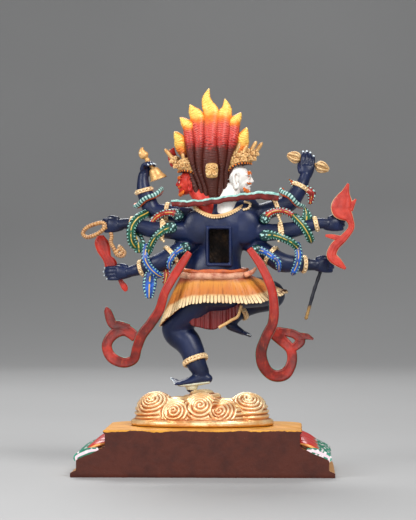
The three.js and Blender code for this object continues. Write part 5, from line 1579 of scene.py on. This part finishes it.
CLOUD_BOTTOM = 26.2
CLOUD_FLANGE = [[1.5, 0, 26.2, 40, 24], [1.5, 0, 28.8, 40, 24], [1.5, 0, 30, 38.5, 22.5]]
CLOUD_LOBES = [((27, 2, 33), (12, 15, 11.6)), ((14, 7, 32.5), (12, 15.6, 9.8)), ((1, 2, 33), (15, 19.6, 13)),
               ((-13, 7, 32), (12, 14.6, 9.2)), ((-23.6, 2, 32.5), (12.2, 14.8, 11.8)),
               ((13, -9, 31.5), (12, 13, 9)), ((-10, -9, 31.5), (13, 13, 9)),
               ((2, 0, 28), (38, 21.5, 5.5))]

# Scrolls in the cloud: x, z, side (1 at the back, -1 in front), radius and way round.
CLOUD_SCROLLS = [(29.6, 41.6, 1, 4.6, 1), (17, 35.6, 1, 4.2, -1), (2, 38.8, 1, 5.2, -1),
                 (-8.6, 35.4, 1, 4, 1), (-25, 42, 1, 4.6, 1), (27, 41, -1, 4.6, -1),
                 (13, 36, -1, 4.4, 1), (0.5, 38.6, -1, 5.2, 1),
                 (-11, 36, -1, 4.4, -1), (-26, 41, -1, 4.6, 1)]
CLOUD_VOXEL = 0.45
CLOUD_PITCH = 2.1
CLOUD_GROOVE = 0.75


def cloud():
    """Lobes with scrolls, and lines that follow round the scrolls like ripples."""
    shapes = [tube(CLOUD_FLANGE, 96, side=X_AXIS, blunt=0.02)]
    shapes += [ball(at, radii, 48, 28) for at, radii in CLOUD_LOBES]
    made = fused("cloud", shapes, CLOUD_VOXEL, 6)
    points, normals = mesh_points(made), mesh_normals(made)
    phase = np.full(len(points), 0.0)
    nearest = np.full(len(points), 1e9)
    for x, z, side, radius, way in CLOUD_SCROLLS:
        away = np.hypot(points[:, 0] - x, points[:, 2] - z) + 0.1 * np.abs(points[:, 1] - side * 40)
        centre, out = points[np.argmin(away)], normals[np.argmin(away)]
        level = unit(np.cross(Z_AXIS, out))
        rise = np.cross(out, level)
        offset = points - centre
        reach = np.linalg.norm(offset, axis=1)
        beyond = reach - radius
        turn = np.arctan2(offset @ rise, offset @ level) / TURN
        spiral = beyond / CLOUD_PITCH + way * turn * np.clip(-beyond / radius * 3, 0, 1)
        closer = beyond < nearest
        phase[closer] = spiral[closer]
        nearest[closer] = beyond[closer]
    level_lines = (points[:, 2] + 0.05 * points[:, 0]) / 2.6
    phase = np.where(nearest > 2.6 * CLOUD_PITCH, level_lines, phase)
    within = np.abs((phase + 0.5) % 1 - 0.5) * CLOUD_PITCH
    groove = np.exp(-(within / 0.36) ** 2)
    ridge = np.cos(TURN * (phase + 0.5))
    low = np.clip((points[:, 2] - 30.4) / 1.2, 0, 1)
    under = np.clip((normals[:, 2] + 0.9) / 0.4, 0, 1)
    share = (low * under)[:, None]
    points = points + normals * share * (0.28 * ridge - CLOUD_GROOVE * groove + 0.2)[:, None]
    seam = np.exp(-((points[:, 2] - 30.2) / 0.55) ** 2) * (np.abs(normals[:, 2]) < 0.98)
    points[:, 2] = np.maximum(points[:, 2], CLOUD_BOTTOM)
    set_points(made, points)
    # The groove tag also covers the seam above the flange, painted darker as shade.
    add_tag(made, "groove", np.clip(groove * share[:, 0] + 0.8 * seam, 0, 1))
    thinned(made, CLOUD_SHARE)
    dress(made, cloud_paint(), "cloud_gold", "cloud_base")


def cloud_paint():
    paint = Paint("cloud_paint", metallic=0.5)
    colour = paint.mix(paint.range(paint.noise(110, 3), 0.35, 0.65), srgb(250, 224, 176), srgb(228, 178, 116))
    # Pale gold on the crests: a painted highlight.
    colour = paint.mix(paint.range(paint.crest(), 0.53, 0.6), colour, srgb(255, 236, 200))
    stain = paint.math("MULTIPLY", paint.range(paint.noise(60, 4), 0.5, 0.66), 0.5)
    colour = paint.mix(stain, colour, srgb(190, 112, 60))
    # Brown in the carved lines, partly their own paint and partly painted shade, and painted shade in the
    # hollows between lobes.
    carved, hollow = paint.range(paint.tag("groove"), 0.12, 0.75), paint.range(paint.crest(), 0.48, 0.4)
    deep = paint.math("MAXIMUM", carved, hollow)
    colour = paint.mix(paint.math("MULTIPLY", deep, 0.9), colour, srgb(176, 92, 48))
    rim = paint.math("ADD", paint.height(), paint.math("MULTIPLY", paint.noise(90, 3), 0.0022))
    colour = paint.mix(paint.range(rim, 0.0288, 0.0282), colour, srgb(206, 148, 62))
    paint.colour(colour)
    paint.roughness(paint.noise(300, 3), 0.24, 0.42)
    paint.relief(paint.noise(500, 4), 0.15)
    return paint.material


# The plinth.

FOOT_HALF = 72.4
DADO_HALF = 69.1
TIER_HALF = 53.3
LIP_HALF = 54.3
BACK_Y = 40
TIER_FRONT_Y = -38
CORNER_RADIUS = 17
PLINTH_PROFILE = [(FOOT_HALF - 0.5, 0), (FOOT_HALF, 0.4), (FOOT_HALF, 2.2), (FOOT_HALF - 0.6, 2.7),
                  (69.5, 3.7), (DADO_HALF, 4.3), (DADO_HALF, 9.2), (68.6, 9.8), (65, 11.6), (61, 13),
                  (57, 15), (54.2, 16.2),
                  (TIER_HALF, 17.2), (TIER_HALF, 23.6), (LIP_HALF - 0.3, 24.3), (LIP_HALF, 24.8),
                  (LIP_HALF, 25.5), (LIP_HALF - 0.5, 25.9)]
PLINTH_TOP = 25.9
PETALS = 15
PETAL_SETBACK = 1.2

# Rows of petals: half width of the plinth at the tips and roots, their heights, and phase.
PETAL_ROWS = {
    "upper": {"tip": (64, 14.4), "root": (53.6, 18.6), "under": (61, 11), "phase": 0},
    "lower": {"tip": (70.5, 11), "root": (58, 15), "under": (67.5, 9), "phase": 0.5},
}


def tier_plan(half, back=BACK_Y, pitch=1.2):
    """The plan of a tier from its back left corner round the front, closely spaced."""
    front = TIER_FRONT_Y - (half - TIER_HALF)
    corner = []
    for side, start in ((-1, math.pi), (1, 1.5 * math.pi)):
        for turn in np.linspace(start, start + math.pi / 2, 13):
            corner.append((side * (half - CORNER_RADIUS) + CORNER_RADIUS * math.cos(turn),
                           front + CORNER_RADIUS + CORNER_RADIUS * math.sin(turn)))
    path = np.array([(-half, back), *corner, (half, back)])
    reach = np.concatenate([[0], np.cumsum(np.linalg.norm(np.diff(path, axis=0), axis=1))])
    count = round(reach[-1] / pitch)
    stops = np.linspace(0, reach[-1], count)
    return np.column_stack([np.interp(stops, reach, path[:, k]) for k in range(2)])


def at_share(half, share, back):
    """A point round a tier and the way out of it there."""
    plan = tier_plan(half, back, 0.5)
    k = share * (len(plan) - 1)
    i = int(np.clip(k, 0, len(plan) - 2))
    place = plan[i] + (plan[i + 1] - plan[i]) * (k - i)
    along = plan[min(i + 3, len(plan) - 1)] - plan[max(i - 3, 0)]
    along = along / np.linalg.norm(along)
    return np.array([*place, 0]), np.array([along[1], -along[0], 0])


def plinth():
    sides = 300
    rings = []
    for half, z in PLINTH_PROFILE:
        plan = tier_plan(half, BACK_Y - 0.25 * (z in (0, PLINTH_TOP)))
        reach = np.linspace(0, 1, len(plan))
        stops = np.linspace(0, 1, sides)
        edge = np.column_stack([np.interp(stops, reach, plan[:, k]) for k in range(2)])
        back = np.column_stack([np.linspace(edge[-1, 0], edge[0, 0], 114)[1:-1], np.full(112, edge[0, 1])])
        ring = np.concatenate([edge, back])
        rings.append(np.column_stack([ring, np.full(len(ring), float(z))]))
    rings = np.array(rings)
    worn = 0.16 * wander(rings[..., 0] * 0.35 + rings[..., 1] * 0.3, 2) - 0.2
    rings[..., 0] += worn * np.sign(rings[..., 0])
    on_back = np.zeros(rings.shape[:2])
    on_back[:, sides:] = 1
    shape = skin(rings[::-1], on_back=on_back[::-1])
    dress(mesh_object("plinth_block", shape), plinth_paint(), "plinth_brown", "plinth", sharp=38)
    for name, row in PETAL_ROWS.items():
        petals(name, row)


def plinth_paint():
    """Red-brown on the flat back, tan and red round the rest, ochre on top."""
    paint = Paint("plinth_paint")
    brown = paint.mix(paint.range(paint.noise(140, 5), 0.4, 0.7), srgb(76, 30, 17), srgb(60, 22, 13))
    brown = paint.mix(paint.math("MULTIPLY", paint.specks(220, 0.05), 0.4), brown, srgb(140, 92, 70))
    z = paint.height()
    tan = paint.mix(paint.noise(200, 4), srgb(196, 150, 92), srgb(160, 104, 58))
    red = paint.mix(paint.noise(200, 4), srgb(120, 30, 22), srgb(92, 22, 16))
    side = paint.mix(paint.range(z, 0.0158, 0.0162), tan, red)
    y = paint.math("ADD", paint.depth(), paint.math("MULTIPLY", paint.noise(160, 3), 0.0016))
    colour = paint.mix(paint.range(y, 0.0398, 0.0404), side, brown)
    ochre = paint.mix(paint.range(paint.noise(120, 4), 0.4, 0.7), srgb(214, 150, 50), srgb(190, 124, 40))
    spill = paint.math("ADD", z, paint.math("MULTIPLY", paint.noise(70, 4, 0.6), 0.005))
    top = paint.math("MAXIMUM", paint.range(spill, 0.0275, 0.0277), paint.range(z, 0.0256, 0.0258))
    colour = paint.mix(top, colour, ochre)
    paint.colour(colour)
    paint.roughness(paint.noise(300, 3), 0.45, 0.65)
    paint.relief(paint.noise(260, 5, 0.6), 0.25)
    return paint.material


def petals(name, row):
    """One row of lotus petals: a rim round a swollen middle, with the tip turned up."""
    shapes = []
    back = BACK_Y - PETAL_SETBACK
    shares = [(k + 0.5 * (row["phase"] == 0)) / PETALS for k in range(PETALS + (row["phase"] != 0))]
    for share in shares:
        stations = []
        (root, root_z), (tip, tip_z) = row["root"], row["tip"]
        for half, z, wide, thick in (
                (root, root_z, 0.6, 1.2), ((root * 2 + tip) / 3, root_z - 0.4, 1, 1.7),
                ((root + tip * 2) / 3, root_z - 1.9, 1.02, 1.9), (tip - 0.8, tip_z + 0.2, 0.8, 1.6),
                (tip - 1.2, tip_z - 1.8, 0.4, 1.2)):
            place, out = at_share(half, share, back)
            stations.append([*(place - out * thick * 0.6 + Z_AXIS * z), thick, wide * 7.0])
        shape = tube(smooth(stations, 20), 24, side=out + Z_AXIS * 1.2, blunt=0.5)
        shape.tags["length"] = np.repeat(np.linspace(0, 1, len(shape.points) // 24), 24)
        shape.points[:, 1] = np.minimum(shape.points[:, 1], back + 0.6)
        shapes.append(shape)
    dress(mesh_object(f"{name}_petals", joined(shapes)), petal_paint(name), "petal_paint", "plinth")


def petal_paint(name):
    paint = Paint(f"{name}_petal_paint", coat=0.35, coat_roughness=0.25)
    base, blush, rim = {
        "upper": (srgb(188, 34, 30), srgb(226, 112, 70), srgb(232, 160, 90)),
        "lower": (srgb(12, 112, 84), srgb(46, 160, 132), srgb(236, 206, 214)),
    }[name]
    colour = paint.mix(paint.range(paint.tag("length"), 0.45, 0.85), base, blush)
    colour = paint.mix(paint.range(paint.noise(260, 3), 0.5, 0.7), colour, base)
    side = paint.math("ABSOLUTE", paint.tag("across"))
    colour = paint.mix(paint.range(side, 0.86, 0.93), colour, rim)
    if name == "lower":
        colour = paint.mix(paint.specks(420, 0.42), colour, srgb(232, 220, 222))
    paint.colour(colour)
    paint.roughness(paint.noise(300, 3), 0.3, 0.5)
    return paint.material


def stage():
    """The floor, the lights and the camera."""
    half_width, near, far, bend, top, steps = 6.0, 6.0, -1.4, 0.9, 3.5, 24
    turn = np.linspace(0, math.pi / 2, steps)
    profile = [(near, 0.0), *zip(far - bend * np.sin(turn), bend * (1 - np.cos(turn))), (far - bend, top)]
    points = [(side * half_width, y, z) for y, z in profile for side in (-1, 1)]
    mesh = bpy.data.meshes.new("floor")
    mesh.from_pydata(points, [], [(2 * k, 2 * k + 1, 2 * k + 3, 2 * k + 2) for k in range(len(profile) - 1)])
    mesh.shade_smooth()
    floor = bpy.data.objects.new("floor", mesh)
    bpy.context.scene.collection.objects.link(floor)
    paint = Paint("floor_paint", roughness=0.6)
    paint.colour(paint.mix(paint.noise(3, 2), srgb(158, 158, 158), srgb(166, 166, 166)))
    mesh.materials.append(paint.material)
    world = bpy.data.worlds.new("studio")
    world.use_nodes = True
    world.node_tree.nodes["Background"].inputs["Color"].default_value = srgb(190, 191, 193)
    world.node_tree.nodes["Background"].inputs["Strength"].default_value = 0.5
    bpy.context.scene.world = world
    bpy.context.scene.view_settings.view_transform = "Standard"
    for name, at, size, power in (
            ("key", (-0.7, 1.1, 1.25), 0.6, 24), ("fill", (1.0, 0.9, 0.7), 0.6, 13),
            ("rim", (0.2, -1.0, 1.1), 0.7, 13), ("front", (0.1, 1.4, 0.25), 0.6, 4)):
        light = bpy.data.lights.new(name, "AREA")
        light.size = size
        light.energy = power
        made = bpy.data.objects.new(name, light)
        made.location = at
        aim = np.array((0, 0, 0.11)) - np.array(at)
        made.rotation_euler = direction_euler(aim)
        bpy.context.scene.collection.objects.link(made)
    lens = bpy.data.cameras.new("camera")
    lens.lens = CAMERA_LENS
    lens.clip_start = 0.01
    camera = bpy.data.objects.new("camera", lens)
    azimuth = math.radians(CAMERA_AZIMUTH)
    back = np.array((math.sin(azimuth), -math.cos(azimuth), 0))
    aim = np.array((CAMERA_AIM_X, 0, CAMERA_HEIGHT))
    camera.location = (aim + back * CAMERA_DISTANCE) * MM
    camera.rotation_euler = direction_euler(-back)
    bpy.context.scene.collection.objects.link(camera)
    bpy.context.scene.camera = camera


def direction_euler(direction):
    return Vector(direction).to_track_quat("-Z", "Y").to_euler()


stage()
window()
hair()
jewellery()
scarves()
cuffs()
shoulder_scarf()
sash("left_ribbon", LEFT_SASH, LEFT_TAILS, "left_sash")
sash("right_ribbon", RIGHT_SASH, RIGHT_TAILS, "right_sash")
skirt()
belt()
undercloth()
bell()
vajra()
noose()
knife()
banner()
rod()
cloud()
plinth()
heads()
crowns()
nails = body() + hands()
sole()
nail_paint = plain_paint("nail_paint", srgb(214, 226, 232))
dress(mesh_object("nails", joined(nails)), nail_paint, "nail_white", "figure")
